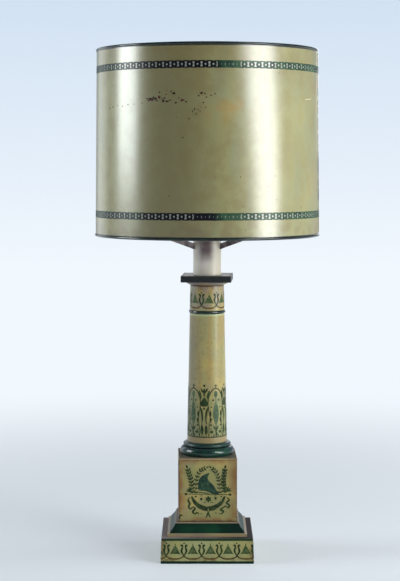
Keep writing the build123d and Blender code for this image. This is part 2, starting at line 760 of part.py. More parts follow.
# ================================================================ shade
bead_radius = rim_bead / 2
bead_inset = bead_radius - rim_proud         # from the wall's outside in to the bead's centre line
bead_reach = (bead_radius**2 - (bead_inset - shade_tin) ** 2) ** 0.5 + solder_gap
bead_levels = {"bottom_rim_bead": shade_bottom + bead_radius, "top_rim_bead": shade_top - bead_radius}
wall_low = bead_levels["bottom_rim_bead"] + bead_reach
wall_high = bead_levels["top_rim_bead"] - bead_reach
seam_angle = degrees(seam_lap / (shade_diameter / 2))

# The wall is one sheet, rolled into a drum and lapped at the seam.
with BuildPart() as shade_wall:
    with BuildSketch(Plane.XZ):
        Polygon(
            (shade_radius(wall_low) - shade_tin, wall_low),
            (shade_radius(wall_low), wall_low),
            (shade_radius(wall_high), wall_high),
            (shade_radius(wall_high) - shade_tin, wall_high),
            align=None,
        )
    revolve(axis=Axis.Z)
    with BuildSketch(radial_plane(seam_azimuth - seam_angle / 2)):
        Polygon(
            (shade_radius(wall_low) - shade_tin / 2, wall_low + bead_radius),
            (shade_radius(wall_low) + shade_tin, wall_low + bead_radius),
            (shade_radius(wall_high) + shade_tin, wall_high - bead_radius),
            (shade_radius(wall_high) - shade_tin / 2, wall_high - bead_radius),
            align=None,
        )
    revolve(axis=Axis.Z, revolution_arc=seam_angle)
shade_wall.part.label = "shade_wall"
export_step(shade_wall.part, "parts/shade_wall.step")

# Each edge of the wall is curled over a wire: a round bead, solid to look at.
for node, level in bead_levels.items():
    with BuildPart() as bead:
        with BuildSketch(Plane.XZ):
            with Locations((shade_radius(level) - bead_inset, level)):
                Circle(bead_radius)
        revolve(axis=Axis.Z)
    bead.part.label = node
    export_step(bead.part, f"parts/{node}.step")

# The collar slides on the candle tube; its boss takes the clamp screw.
collar_bore = tube_diameter / 2 + slide_clearance
collar_middle = collar_bottom + collar_height / 2
boss_end = collar_radius + screw_boss_reach
screw_plane = Plane(
    origin=(0, 0, collar_middle),
    x_dir=(0, 0, 1),
    z_dir=(cos(radians(screw_azimuth)), sin(radians(screw_azimuth)), 0),
)
with BuildPart() as shade_collar:
    with BuildSketch(screw_plane.offset(tube_diameter / 2)):
        Circle(screw_boss_diameter / 2)
    extrude(amount=boss_end - tube_diameter / 2)
    with BuildSketch(Plane.XY.offset(collar_bottom)):
        Circle(collar_radius)
    extrude(amount=collar_height)
    with BuildSketch(Plane.XY.offset(collar_bottom)):
        Circle(collar_bore)
    extrude(amount=collar_height, mode=Mode.SUBTRACT)
    with BuildSketch(screw_plane):
        Circle(screw_diameter / 2 + turning_clearance)
    extrude(amount=boss_end, mode=Mode.SUBTRACT)
shade_collar.part.label = "shade_collar"
export_step(shade_collar.part, "parts/shade_collar.step")

screw_tip = tube_diameter / 2 + screw_tip_gap
head_start = boss_end + screw_neck
with BuildPart() as clamp_screw:
    with BuildSketch(screw_plane.offset(screw_tip)):
        Circle(screw_diameter / 2)
    extrude(amount=head_start + screw_head_length - screw_tip)
    with BuildSketch(screw_plane.offset(head_start)):
        Circle(screw_head_diameter / 2)
        with PolarLocations(screw_head_diameter / 2, screw_flutes):
            Circle(screw_flute_radius, mode=Mode.SUBTRACT)
    extrude(amount=screw_head_length)
clamp_screw.part.label = "clamp_screw"
export_step(clamp_screw.part, "parts/clamp_screw.step")

# Flat bars on edge rise from the collar; each ends in a foot soldered inside the wall.
arm_root = collar_radius + solder_gap
arm_rise = tan(radians(arm_slope))
arm_bottom = collar_bottom + (collar_height - arm_depth) / 2
arm_at_axis = arm_bottom - arm_root * arm_rise
foot_middle = arm_at_axis + arm_depth / 2 + shade_diameter / 2 * arm_rise
foot_low = foot_middle - arm_foot_height / 2
foot_high = foot_middle + arm_foot_height / 2
foot_angle = degrees(arm_foot_width / (shade_diameter / 2))
arm_tip = shade_radius(foot_middle) - shade_tin - solder_gap - arm_foot_thickness / 2


def foot_back(z):
    """Radius of the foot's outer face at height z, just inside the shade's wall."""
    return shade_radius(z) - shade_tin - solder_gap


for index in range(arm_count):
    azimuth = arm_first + index * 360 / arm_count
    with BuildPart() as arm:
        with BuildSketch(radial_plane(azimuth)):
            Polygon(
                (0, arm_at_axis),
                (arm_tip, arm_at_axis + arm_tip * arm_rise),
                (arm_tip, arm_at_axis + arm_tip * arm_rise + arm_depth),
                (0, arm_at_axis + arm_depth),
                align=None,
            )
        extrude(amount=arm_thickness / 2, both=True)
        with BuildSketch(radial_plane(azimuth - foot_angle / 2)):
            Polygon(
                (foot_back(foot_low) - arm_foot_thickness, foot_low),
                (foot_back(foot_low), foot_low),
                (foot_back(foot_high), foot_high),
                (foot_back(foot_high) - arm_foot_thickness, foot_high),
                align=None,
            )
        revolve(axis=Axis.Z, revolution_arc=foot_angle)
        with BuildSketch(Plane.XY.offset(collar_bottom - collar_height)):
            Circle(arm_root)
        extrude(amount=3 * collar_height, mode=Mode.SUBTRACT)
    arm.part.label = f"shade_arm_{index + 1}"
    export_step(arm.part, f"parts/shade_arm_{index + 1}.step")
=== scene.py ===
# %% [markdown]
# # Dressing a painted tin column lamp
#
# The lamp is a stack of painted tinplate storeys: a flared plinth, a mitred moulding, a square
# pedestal, a tapered column and a candle tube, with a drum shade that slides on the tube. All its
# solids exist already and are fixed. This lesson gives them their paint, their stencilled ornament,
# their wear and their light. Each code cell adds one thing and prints what it made.

# %% Load the frame
from math import atan2, cos, floor, hypot, pi, radians, sin
from random import Random

import bpy
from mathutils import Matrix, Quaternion, Vector
from mathutils.geometry import delaunay_2d_cdt


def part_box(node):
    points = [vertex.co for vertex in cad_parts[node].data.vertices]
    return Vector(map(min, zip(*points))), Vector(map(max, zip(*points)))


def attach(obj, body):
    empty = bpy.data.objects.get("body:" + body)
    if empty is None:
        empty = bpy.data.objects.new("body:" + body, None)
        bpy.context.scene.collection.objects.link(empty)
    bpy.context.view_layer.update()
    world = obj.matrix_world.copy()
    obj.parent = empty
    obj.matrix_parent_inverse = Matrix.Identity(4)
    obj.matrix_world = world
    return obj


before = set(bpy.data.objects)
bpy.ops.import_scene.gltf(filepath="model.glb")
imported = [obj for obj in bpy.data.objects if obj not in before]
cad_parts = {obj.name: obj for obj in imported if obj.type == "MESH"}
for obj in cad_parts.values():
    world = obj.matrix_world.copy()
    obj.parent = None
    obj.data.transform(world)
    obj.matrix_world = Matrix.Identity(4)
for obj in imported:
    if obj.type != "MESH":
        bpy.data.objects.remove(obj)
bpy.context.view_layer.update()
mm = 0.001

# %% [markdown]
# ## The camera
#
# A long lens from about two and a quarter metres keeps the column's sides straight and shows a little
# of the plinth's top. The camera stands lower than the shade's top and looks slightly down.

# %% Camera
camera_data = bpy.data.cameras.new("camera")
camera_data.lens = 94.8
camera_data.sensor_width = 36.0
camera = bpy.data.objects.new("camera", camera_data)
camera.location = (-0.0106, -2.269, 0.584)
camera_dip = radians(4.73)
camera.rotation_euler = (pi / 2 - camera_dip, 0, 0)
bpy.context.scene.collection.objects.link(camera)
bpy.context.scene.camera = camera
bpy.context.scene.view_settings.view_transform = "Standard"
print("camera: lens", camera_data.lens, "mm, at", [round(c, 3) for c in camera.location])


# %% [markdown]
# ## Colours and nodes
#
# Paint is matched on a display, so colours are written as display values from 0 to 255 and
# turned into the linear light that Blender mixes. The node trees of old paint are all alike: over the
# colour reached so far goes a tint, by a share that comes from noise, from a height or from the
# distance to a spot. A paint pot keeps the colour reached and makes each tint one short call. What it
# shares with the nodes of the world, making a node and feeding its inputs, is a class of its own.

# %% Colour and nodes
def shade_of(red, green, blue):
    """A display colour, 0 to 255, as linear RGBA."""
    linear = [((c / 255 + 0.055) / 1.055) ** 2.4 if c > 10 else c / 255 / 12.92 for c in (red, green, blue)]
    return (*linear, 1.0)


class Nodes:
    """The node tree of a material or world. Sockets that come out of one step go into the next."""

    def __init__(self, tree):
        self.tree = tree

    def feed(self, socket, value):
        """A socket is linked, a plain value is written on the input."""
        if isinstance(value, bpy.types.NodeSocket):
            self.tree.links.new(value, socket)
        else:
            socket.default_value = value

    def node(self, kind, *values, inputs=(), **options):
        """A new node. Values go into its first inputs in their order, inputs by their names."""
        made = self.tree.nodes.new("ShaderNode" + kind)
        for option, choice in options.items():
            setattr(made, option, choice)
        for socket, value in zip(made.inputs, values):
            self.feed(socket, value)
        for name, value in dict(inputs).items():
            self.feed(made.inputs[name], value)
        return made

    def math(self, operation, *values):
        return self.node("Math", *values, operation=operation).outputs[0]


print("a display value of 128 is", round(shade_of(128, 128, 128)[0], 3), "in linear light")


# %% A paint pot
class Paint(Nodes):
    """One material, mixed step by step, with the colour that it has reached."""

    def __init__(self, name, roughness, specular=0.5, metallic=0.0, coat=0.0, coat_roughness=0.1):
        self.material = bpy.data.materials.new(name)
        self.material.use_nodes = True
        super().__init__(self.material.node_tree)
        self.shader = self.tree.nodes["Principled BSDF"]
        self.set("Roughness", roughness)
        self.set("Specular IOR Level", specular)
        self.set("Metallic", metallic)
        self.set("Coat Weight", coat)
        self.set("Coat Roughness", coat_roughness)
        self.place = self.node("TexCoord").outputs["Object"]
        self.x, self.y, self.z = self.node("SeparateXYZ", self.place).outputs

    def set(self, name, value):
        self.feed(self.shader.inputs[name], value)

    def rise(self, value, low, high):
        """0 below low, 1 above high, smooth between. With low above high it falls instead."""
        return self.node("MapRange", value, low, high, 0.0, 1.0, interpolation_type="SMOOTHSTEP").outputs[0]

    def level(self, low, high):
        """The same by height."""
        return self.rise(self.z, low, high)

    def band(self, low, high, blur):
        """1 between two heights. Its edges fade inwards over blur."""
        return self.times(self.level(low, low + blur), self.level(high, high - blur))

    def noise(self, size, detail=3, stretch=(1, 1, 1)):
        """Cloudy noise around 0.5 whose lumps are about size metres, stretched along an axis."""
        lumps = [1 / (size * s) for s in stretch]
        scaled = self.node("VectorMath", self.place, lumps, operation="MULTIPLY").outputs[0]
        inputs = {"Vector": scaled, "Scale": 1.0, "Detail": detail}
        return self.node("TexNoise", inputs=inputs).outputs["Fac"]

    def cloud(self, size, low, high, detail=3, stretch=(1, 1, 1)):
        """Soft patches about size metres across. The higher low and high, the fewer there are."""
        return self.rise(self.noise(size, detail, stretch), low, high)

    def near(self, point, reach):
        """1 at a point on the object, falling to 0 at reach metres from it."""
        distance = self.node("VectorMath", self.place, point, operation="DISTANCE").outputs["Value"]
        return self.rise(distance, reach, 0.0)

    def times(self, *shares):
        """High only where all the shares are."""
        product = shares[0]
        for share in shares[1:]:
            product = self.math("MULTIPLY", product, share)
        return product

    def either(self, first, second):
        return self.math("MAXIMUM", first, second)

    def mix(self, share, first, second):
        made = self.node("Mix", data_type="RGBA")
        for socket, value in zip((made.inputs[0], made.inputs[6], made.inputs[7]), (share, first, second)):
            self.feed(socket, value)
        return made.outputs[2]

    def patchy(self, first, second, size, low=0.4, high=0.7, detail=3):
        """Two tones in soft patches."""
        return self.mix(self.cloud(size, low, high, detail), first, second)

    def lay(self, colour):
        """The colour reached, which the next tint goes over."""
        self.reached = colour
        self.set("Base Color", colour)

    def tint(self, colour, *shares):
        """Lays a colour over the one reached, where all the shares are high."""
        self.lay(self.mix(self.times(*shares), self.reached, colour))

    def vary(self, name, share, start, end):
        """An input of the shader runs from start, where share is 0, to end, where it is 1."""
        self.set(name, self.math("ADD", self.times(share, end - start), start))

    def relief(self, height, depth):
        """Bump of at most depth metres."""
        inputs = {"Strength": 1.0, "Distance": depth, "Height": height}
        self.set("Normal", self.node("Bump", inputs=inputs).outputs["Normal"])


print("a paint pot has", ", ".join(step for step in vars(Paint) if not step.startswith("_")))

# %% Dressing
paints_in_use = {}


def dress(paint, *nodes):
    """Puts a paint on solids of the frame, in place of the plain one that they came with."""
    for name in nodes:
        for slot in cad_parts[name].material_slots:
            slot.material = paint.material
        paints_in_use[name] = paint.material.name
    print(paint.material.name, "on", ", ".join(nodes))


print("solids to dress:", len(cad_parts))

# %% [markdown]
# ## The levels of the lamp
#
# The paint has lines, stains and worn edges at certain heights. Most are counted from the ends of the
# frame's own pieces, so that they follow the solids. A few sizes of the solids, such as the side of
# the pedestal and its small turn, are given again where the paint needs them. The shaft, the shade
# and the plinth all taper evenly, so one function gives the width of any of them at a height.

# %% Levels and radii
def levels(name):
    """Lowest and highest point of a solid, in metres."""
    low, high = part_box(name)
    return low.z, high.z


def profile(name):
    """Outer radius and height at the foot and at the head of a round solid, read from its mesh."""
    low, high = levels(name)
    points = [v.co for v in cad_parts[name].data.vertices]
    near_end = 0.2 * mm
    foot = max(hypot(p.x, p.y) for p in points if p.z < low + near_end)
    head = max(hypot(p.x, p.y) for p in points if p.z > high - near_end)
    return foot, low, head, high


def tapered(foot, low, head, high):
    """A function of the height that runs evenly from foot to head."""
    return lambda level: foot + (head - foot) * ((level - low) / (high - low))


def around(azimuth, radius, level):
    """A point on a round surface. Azimuth 0 is the front, and it grows towards the right, in degrees."""
    turn = radians(azimuth)
    return Vector((radius * sin(turn), -radius * cos(turn), level))


shaft_foot, shaft_low, shaft_head, shaft_high = profile("column_shaft")
shaft_radius = tapered(shaft_foot, shaft_low, shaft_head, shaft_high)
wall_foot, wall_low, wall_head, wall_high = profile("shade_wall")
wall_radius = tapered(wall_foot, wall_low, wall_head, wall_high)
print("shade wall radius", round(wall_foot / mm, 1), "to", round(wall_head / mm, 1), "mm")
print("shaft radius", round(shaft_foot / mm, 1), "to", round(shaft_head / mm, 1), "mm")

# %% [markdown]
# ## Backdrop and floor
#
# The lamp stands on a pale sweep of paper. What the camera sees behind it comes from the world's
# colour, which pales towards the horizon, so that it costs no light on the object. Glossy surfaces
# see that same paper at less than half its strength, and darkest on the camera's side, where a studio
# is dark. The floor is a real surface that catches the shadow, and further out it fades into the
# world's horizon colour.

# %% World
paper_high = shade_of(209, 225, 242)
paper_level = shade_of(229, 239, 250)
paper_low = shade_of(241, 248, 254)
sweep_foot = -0.066
sweep_head = 0.11
level_stop = 0.375
fill_strength = 0.03
studio_front = 0.08
studio_back = 0.42

world = bpy.data.worlds.new("studio")
bpy.context.scene.world = world
world.use_nodes = True
studio = Nodes(world.node_tree)
heading = studio.node("SeparateXYZ", studio.node("TexCoord").outputs["Generated"]).outputs
paper = studio.node("ValToRGB", studio.node("MapRange", heading["Z"], sweep_foot, sweep_head).outputs[0])
paper.color_ramp.elements[0].color = paper_low
paper.color_ramp.elements[1].color = paper_high
paper.color_ramp.elements.new(level_stop).color = paper_level
mirrored_paper = studio.node("MapRange", heading["Y"], -0.6, 0.3, studio_front, studio_back).outputs[0]

rays = studio.node("LightPath").outputs
see_through = studio.math("MAXIMUM", rays["Is Camera Ray"], rays["Is Transmission Ray"])
seen = studio.node("Background", paper.outputs[0], studio.math("MAXIMUM", see_through, mirrored_paper))
fill = studio.node("Background", shade_of(244, 248, 255), fill_strength)
is_seen = studio.math("MAXIMUM", see_through, rays["Is Glossy Ray"])
choice = studio.node("MixShader", is_seen, fill.outputs[0], seen.outputs[0])
studio.feed(world.node_tree.nodes["World Output"].inputs["Surface"], choice.outputs[0])
print("world: fill", fill_strength, "and pale paper for camera, glossy and transmission rays")

# %% Floor
floor_radius = 3.2
floor_steps = 96
floor_fade_from = 0.4
floor_fade_to = 1.7
floor_glow = 0.30

rim = [(floor_radius * cos(2 * pi * i / floor_steps), floor_radius * sin(2 * pi * i / floor_steps), 0)
       for i in range(floor_steps)]
floor_mesh = bpy.data.meshes.new("floor")
floor_mesh.from_pydata(rim, [], [list(range(floor_steps))])
floor_sheet = bpy.data.objects.new("floor", floor_mesh)
bpy.context.scene.collection.objects.link(floor_sheet)

sheet = Paint("floor_paper", roughness=0.9, specular=0.1)
sheet.lay(shade_of(212, 217, 224))
sheet.set("Emission Color", shade_of(236, 246, 255))
rays = sheet.node("LightPath").outputs
glow_for = sheet.either(rays["Is Camera Ray"], rays["Is Transmission Ray"])
sheet.set("Emission Strength", sheet.times(glow_for, floor_glow))
away = sheet.node("VectorMath", sheet.place, operation="LENGTH").outputs["Value"]
horizon = sheet.node("Emission", paper_low).outputs[0]
faded = sheet.rise(away, floor_fade_from, floor_fade_to)
blend = sheet.node("MixShader", faded, sheet.shader.outputs[0], horizon)
sheet.feed(sheet.tree.nodes["Material Output"].inputs["Surface"], blend.outputs[0])
floor_mesh.materials.append(sheet.material)
print("floor: radius", floor_radius, "m, fading out from", floor_fade_from, "m")

# %% [markdown]
# ## The lamps of the studio
#
# Two softboxes stand beside the lamp, a strong one at the right and a weaker one at the left. On the
# round shade each draws one tall highlight, and the front between them stays calm and darker. The right
# one leans, so its highlight slants a little. A box further round lights the right flank, without a
# highlight of its own, and a faint one behind the left shoulder lifts that edge off the backdrop. A
# large one overhead opens the shadow, and one behind lights the back.

# %% Softboxes
def softbox(name, azimuth, distance, level, width, height, power, aim_level, tint=(1, 1, 1), lean=0.0,
            mirrored_in_gloss=True):
    """A soft light that faces the lamp's axis. Azimuth 0 is the camera's side, and lean tips it sideways."""
    light = bpy.data.lights.new(name, "AREA")
    light.shape = "RECTANGLE"
    light.size, light.size_y = width, height
    light.energy = power
    light.color = tint
    holder = bpy.data.objects.new(name, light)
    holder.location = around(azimuth, distance, level)
    facing = (Vector((0, 0, aim_level)) - holder.location).to_track_quat("-Z", "Y")
    holder.rotation_euler = (facing @ Quaternion((0, 0, 1), radians(lean))).to_euler()
    holder.visible_camera = False
    holder.visible_glossy = mirrored_in_gloss
    bpy.context.scene.collection.objects.link(holder)
    print(name, power, "W at azimuth", azimuth)


cool_left = (0.93, 1.0, 0.99)
cool_right = (0.97, 1.0, 0.985)
softbox("key_right", 54, 2.1, level=0.9, width=0.8, height=1.7, power=37, aim_level=0.6, tint=cool_right,
        lean=44)
softbox("side_left", -87, 2.2, level=1.08, width=1.0, height=1.0, power=27, aim_level=0.95, tint=cool_left)
softbox("rear_left", -136, 2.4, level=0.9, width=1.1, height=1.4, power=3.6, aim_level=0.6, tint=cool_left)
softbox("wing_right", 92, 2.3, level=0.9, width=1.3, height=1.2, power=25, aim_level=0.6, tint=cool_right,
        mirrored_in_gloss=False)
softbox("overhead", 170, 0.5, level=2.6, width=1.6, height=1.6, power=2.5, aim_level=0.2)
softbox("back_fill", 172, 2.6, level=1.2, width=1.4, height=1.2, power=9, aim_level=0.4)

# %% [markdown]
# ## Old cream paint
#
# The tin is painted in an olive cream that has yellowed unevenly under its varnish. Brown glaze was
# rubbed into the corners, and the edges have since been knocked. The paint is built in layers, in the
# order of the real work: the ground colour, two slow clouds of yellow and grey, then a fine speckle.
# Every storey of the stand that is cream starts from these layers, and adds its own lines and stains.

# %% Ground coat
cream = shade_of(171, 164, 112)
cream_yellow = shade_of(184, 166, 100)
cream_grey = shade_of(150, 148, 116)
glaze_brown = shade_of(112, 78, 44)
rust = shade_of(140, 92, 50)
primer = shade_of(58, 42, 40)
print("cream is", [round(c, 3) for c in cream[:3]], "in linear light")


def aged_cream(name, ground, speckle=0.5):
    """The stand's paint before its lines and stains."""
    pot = Paint(name, roughness=0.38, specular=0.45, coat=0.25, coat_roughness=0.22)
    pot.lay(pot.patchy(ground, cream_yellow, 0.045, 0.42, 0.68, detail=2))
    pot.tint(cream_grey, pot.cloud(0.02, 0.5, 0.72, detail=4), 0.55)
    pot.tint(glaze_brown, pot.cloud(0.0016, 0.66, 0.76, detail=2), speckle)
    pot.relief(pot.noise(0.004), 0.00004)
    return pot


def corner_share(pot, half_side, width, turn=0.0):
    """1 at the upright corners of a square storey, falling to 0 at width from them."""
    across = pot.math("ADD", pot.times(pot.x, cos(turn)), pot.times(pot.y, sin(turn)))
    along = pot.math("SUBTRACT", pot.times(pot.y, cos(turn)), pot.times(pot.x, sin(turn)))
    nearest = pot.math("MINIMUM", pot.math("ABSOLUTE", across), pot.math("ABSOLUTE", along))
    return pot.rise(nearest, half_side - width, half_side)


def knocks(pot, edge_share, size=0.003):
    """Patches of an edge where the paint has been knocked off."""
    return pot.rise(pot.math("ADD", pot.noise(size), pot.times(edge_share, 0.22)), 0.74, 0.80)


# %% [markdown]
# ## The plinth
#
# The plinth is cream with a green line along its top and bottom edges. The lines were painted with a
# brush against a ruler, so their inner edge wanders by a few tenths of a millimetre: the height that
# decides between green and cream gets a little noise added to it. The narrow ledge on top is dull with
# dust, and painted light makes it paler on the left and painted shade darker on the right.

# %% Plinth paint
plinth_low, plinth_high = levels("plinth_box")
plinth_foot_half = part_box("plinth_box")[1].x
top_line = plinth_high - 3.9 * mm
foot_line = plinth_low + 2.7 * mm
brush_wobble = 0.7 * mm
line_blur = 0.3 * mm

plinth = aged_cream("plinth_paint", ground=shade_of(184, 181, 128))
plinth.set("Coat Weight", 0.0)
plinth.set("Specular IOR Level", 0.2)
plinth.tint(shade_of(162, 170, 118), 0.45)
plinth_corner = corner_share(plinth, plinth_foot_half, 14 * mm)
plinth.tint(glaze_brown, plinth_corner, plinth.cloud(0.015, 0.35, 0.7), 0.75)
low_down = plinth.level(plinth_low + 14 * mm, plinth_low + 3 * mm)
plinth.tint(glaze_brown, low_down, plinth.cloud(0.01, 0.4, 0.7), 0.65)
wander = plinth.times(plinth.math("SUBTRACT", plinth.noise(0.012, 2), 0.5), brush_wobble)
brushed_height = plinth.math("ADD", plinth.z, wander)
plinth.tint(shade_of(20, 48, 38), plinth.rise(brushed_height, foot_line + line_blur, foot_line))
under_edge = plinth.level(plinth_high - 0.15 * mm, plinth_high - 0.35 * mm)
plinth.tint(shade_of(30, 62, 38), plinth.rise(brushed_height, top_line, top_line + line_blur), under_edge)
plinth_ends = plinth.either(plinth_corner, plinth.level(plinth_high - 1.5 * mm, plinth_high))
plinth.tint(primer, knocks(plinth, plinth_ends))

on_ledge = plinth.level(plinth_high - 0.4 * mm, plinth_high - 0.1 * mm)
dust_and_painted_light = plinth.patchy(shade_of(98, 88, 94), shade_of(124, 114, 114), 0.005, 0.35, detail=4)
# Painted light over the dust: darker on the right of the ledge, paler on the left.
dust_and_painted_light = plinth.mix(plinth.rise(plinth.x, 0, 50 * mm), dust_and_painted_light, shade_of(62, 55, 60))
dust_and_painted_light = plinth.mix(plinth.rise(plinth.x, -15 * mm, -50 * mm), dust_and_painted_light, shade_of(142, 130, 134))
plinth.tint(dust_and_painted_light, on_ledge)
plinth.vary("Roughness", on_ledge, 0.4, 0.8)
dress(plinth, "plinth_box")

# %% [markdown]
# ## The base moulding
#
# Between two cream fillets the hollow of the moulding is glossy green enamel. Cream and green differ
# in gloss as well as in colour, so the same share that mixes the colours also mixes the roughness.
# Front and back have lost most of their sheen to handling, and the two flanks have kept theirs.
# Towards the mitred corners the green is darkened to blue-black: painted shade.

# %% Moulding paint
moulding_low, moulding_high = levels("base_moulding")
lower_fillet = 4.5 * mm
upper_fillet = 2.0 * mm
dark_mitre_half = 52 * mm
dark_mitre_width = 26 * mm

moulding = aged_cream("moulding_paint", ground=shade_of(150, 138, 114))
moulding.set("Coat Weight", 0.0)
moulding.tint(glaze_brown, moulding.level(moulding_low + 1.6 * mm, moulding_low), 0.7)
moulding.tint(shade_of(158, 142, 122), 0.55)
enamel = moulding.patchy(shade_of(15, 46, 36), shade_of(22, 62, 44), 0.03, detail=2)
# Painted shade: the enamel darkens to blue-black towards the mitred corners.
mitre_painted_shade = corner_share(moulding, dark_mitre_half, dark_mitre_width)
enamel = moulding.mix(moulding.times(mitre_painted_shade, 0.7), enamel, shade_of(14, 22, 30))
in_hollow = moulding.band(moulding_low + lower_fillet, moulding_high - upper_fillet, line_blur)
moulding.tint(enamel, in_hollow)
moulding.tint(shade_of(84, 72, 66), moulding.level(moulding_high - 0.5 * mm, moulding_high - 0.2 * mm))
moulding.vary("Roughness", in_hollow, 0.5, 0.40)
sideways = moulding.math(
    "SUBTRACT", moulding.math("ABSOLUTE", moulding.x), moulding.math("ABSOLUTE", moulding.y)
)
flank = moulding.rise(sideways, -0.5 * mm, 0.5 * mm)
moulding.vary("Specular IOR Level", flank, 0.15, 0.75)
dress(moulding, "base_moulding")

# %% [markdown]
# ## The pedestal
#
# The pedestal's faces are warmer than the plinth. The brown glaze is strongest along the edges of
# each face and fades towards the middle, where the ornament stands on clean paint. Its share is the
# larger of two: one that grows towards the upright corners and one that grows towards top and bottom.
# Dust has dulled the ledge on top.

# %% Pedestal paint
die_low, die_high = levels("pedestal_die")
die_side = 86 * mm
die_turn = radians(1.5)

die = aged_cream("pedestal_paint", ground=shade_of(152, 149, 92), speckle=0.7)
die_corner = corner_share(die, die_side / 2, 16 * mm, die_turn)
die_ends = die.either(die.level(die_high - 12 * mm, die_high - 1 * mm), die.level(die_low + 9 * mm, die_low))
die.tint(shade_of(142, 86, 40), die.either(die_corner, die_ends), die.cloud(0.016, 0.3, 0.7), 0.9)
tight_corner = corner_share(die, die_side / 2, 3.5 * mm, die_turn)
tight_edges = die.either(tight_corner, die.level(die_low + 2.5 * mm, die_low))
die.tint(glaze_brown, tight_edges, 0.55)
ruled_line = die.band(die_high - 4.3 * mm, die_high - 2.3 * mm, 0.8 * mm)
die.tint(shade_of(96, 56, 38), ruled_line, 0.6)
worn_rim = die.level(die_high - 2.2 * mm, die_high - 1.2 * mm)
die.tint(shade_of(168, 158, 128), worn_rim, 0.6)
die.tint(primer, knocks(die, tight_edges, 0.0025))
front_right = die.times(die.rise(die.x, 20 * mm, 42 * mm), die.rise(die.y, -26 * mm, -40 * mm))
die.tint(shade_of(122, 94, 54), front_right, die.level(die_low + 20 * mm, die_high), 0.6)
on_die = die.level(die_high - 0.35 * mm, die_high - 0.1 * mm)
die.tint(die.patchy(shade_of(104, 98, 86), shade_of(80, 74, 66), 0.006, 0.35), on_die, 0.9)
die.vary("Roughness", on_die, 0.38, 0.8)
die.vary("Coat Weight", on_die, 0.25, 0.0)
dress(die, "pedestal_die")

# %% [markdown]
# ## Green enamel
#
# The torus at the foot of the column is smooth, glossy green, and the roll above it is duller. Small
# highlights tell how smooth the enamel is, so the foot has no bump. The groove between the two is
# darker. The ring of the shaft and the beads of the shade are a darker green.

# %% Enamel
torus_height = 12.8 * mm
torus_top = levels("column_foot")[0] + torus_height

foot = Paint("foot_enamel", roughness=0.22, specular=0.5, coat=0.3, coat_roughness=0.15)
foot.lay(foot.patchy(shade_of(18, 47, 46), shade_of(22, 68, 50), 0.02, detail=2))
groove = foot.times(foot.level(torus_top - 1.2 * mm, torus_top), foot.level(torus_top + 1.4 * mm, torus_top))
foot.tint(shade_of(16, 18, 26), groove, 0.7)
foot.tint(shade_of(60, 62, 62), foot.cloud(0.003, 0.70, 0.78), 0.5)
foot.vary("Roughness", foot.level(torus_top - 1 * mm, torus_top + 1 * mm), 0.22, 0.38)
dress(foot, "column_foot")

trim = Paint("green_enamel", roughness=0.22, specular=0.5, coat=0.4, coat_roughness=0.08)
trim.lay(trim.patchy(shade_of(14, 26, 26), shade_of(22, 46, 36), 0.02))
trim.tint(shade_of(96, 92, 74), trim.cloud(0.004, 0.68, 0.78))
trim.relief(trim.noise(0.006, 2), 0.00003)
dress(trim, "astragal_ring", "top_rim_bead", "bottom_rim_bead")

# %% [markdown]
# ## The shaft
#
# The shaft has yellowed in long runs, and its left side is greyer and darker: painted shade. Rust has
# spread from the joint under the abacus: each stain is the distance to a point on the shaft's surface,
# broken up with noise. A thin green wash lies behind the panel at its foot, and a pale line under its
# ring is a painted highlight.

# %% Shaft paint
wash_foot = 178 * mm
wash_head = 252 * mm
ring_low = levels("astragal_ring")[0]

shaft = aged_cream("shaft_paint", ground=shade_of(160, 153, 103))
shaft.tint(shade_of(168, 138, 78), shaft.cloud(0.009, 0.42, 0.66, stretch=(1, 1, 12)), 0.6)
# Painted shade: the left side of the shaft is greyer and darker.
shaft.tint(shade_of(122, 116, 96), shaft.rise(shaft.x, -6 * mm, -26 * mm), 0.8)
rust_points = [
    (-4, shaft_high - 1 * mm, 14 * mm), (12, shaft_high - 1 * mm, 12 * mm), (-16, shaft_high, 10 * mm),
    (58, shaft_high - 3 * mm, 9 * mm), (-165, shaft_high, 11 * mm),
]
for azimuth, level, reach in rust_points:
    stain = shaft.near(around(azimuth, shaft_radius(level), level), reach)
    shaft.tint(rust, stain, 0.8, shaft.cloud(0.006, 0.3, 0.65))
shaft.tint(shade_of(122, 108, 72), shaft.cloud(0.0045, 0.52, 0.72, detail=4), 0.45)
under_head = shaft.level(shaft_high - 38 * mm, shaft_high - 30 * mm)
shaft.tint(shade_of(140, 131, 120), under_head, shaft.cloud(0.012, 0.36, 0.6, stretch=(1, 1, 2)), 0.7)
shaft.tint(shade_of(150, 128, 94), shaft.level(shaft_low + 9.2 * mm, shaft_low + 8.2 * mm), 0.6)
wash = shaft.times(shaft.level(wash_foot, wash_foot + 6 * mm), shaft.level(wash_head, wash_head - 12 * mm))
shaft.tint(shade_of(112, 128, 84), wash, shaft.cloud(0.008, 0.2, 0.6), 0.55)
shaft.tint(shade_of(70, 46, 30), shaft.level(shaft_high - 2.4 * mm, shaft_high - 0.4 * mm), 0.85)
# Painted highlight: a pale green line just under the ring.
painted_highlight_line = shaft.times(
    shaft.level(ring_low - 3.2 * mm, ring_low - 2.6 * mm), shaft.level(ring_low + 0.4 * mm, ring_low)
)
shaft.tint(shade_of(176, 196, 150), painted_highlight_line, 0.6)
dress(shaft, "column_shaft")

# %% [markdown]
# ## Abacus and echinus
#
# The square slab is nearly black on its edges. On top it is pale, with a darker rim: a painted
# reflection, with painted shade along the rim. The echinus that carries it is greyer than the shaft,
# with dirt in the joint.

# %% Slab paint
abacus_high = levels("abacus")[1]
abacus_side = 74 * mm
abacus_turn = radians(-3.4)

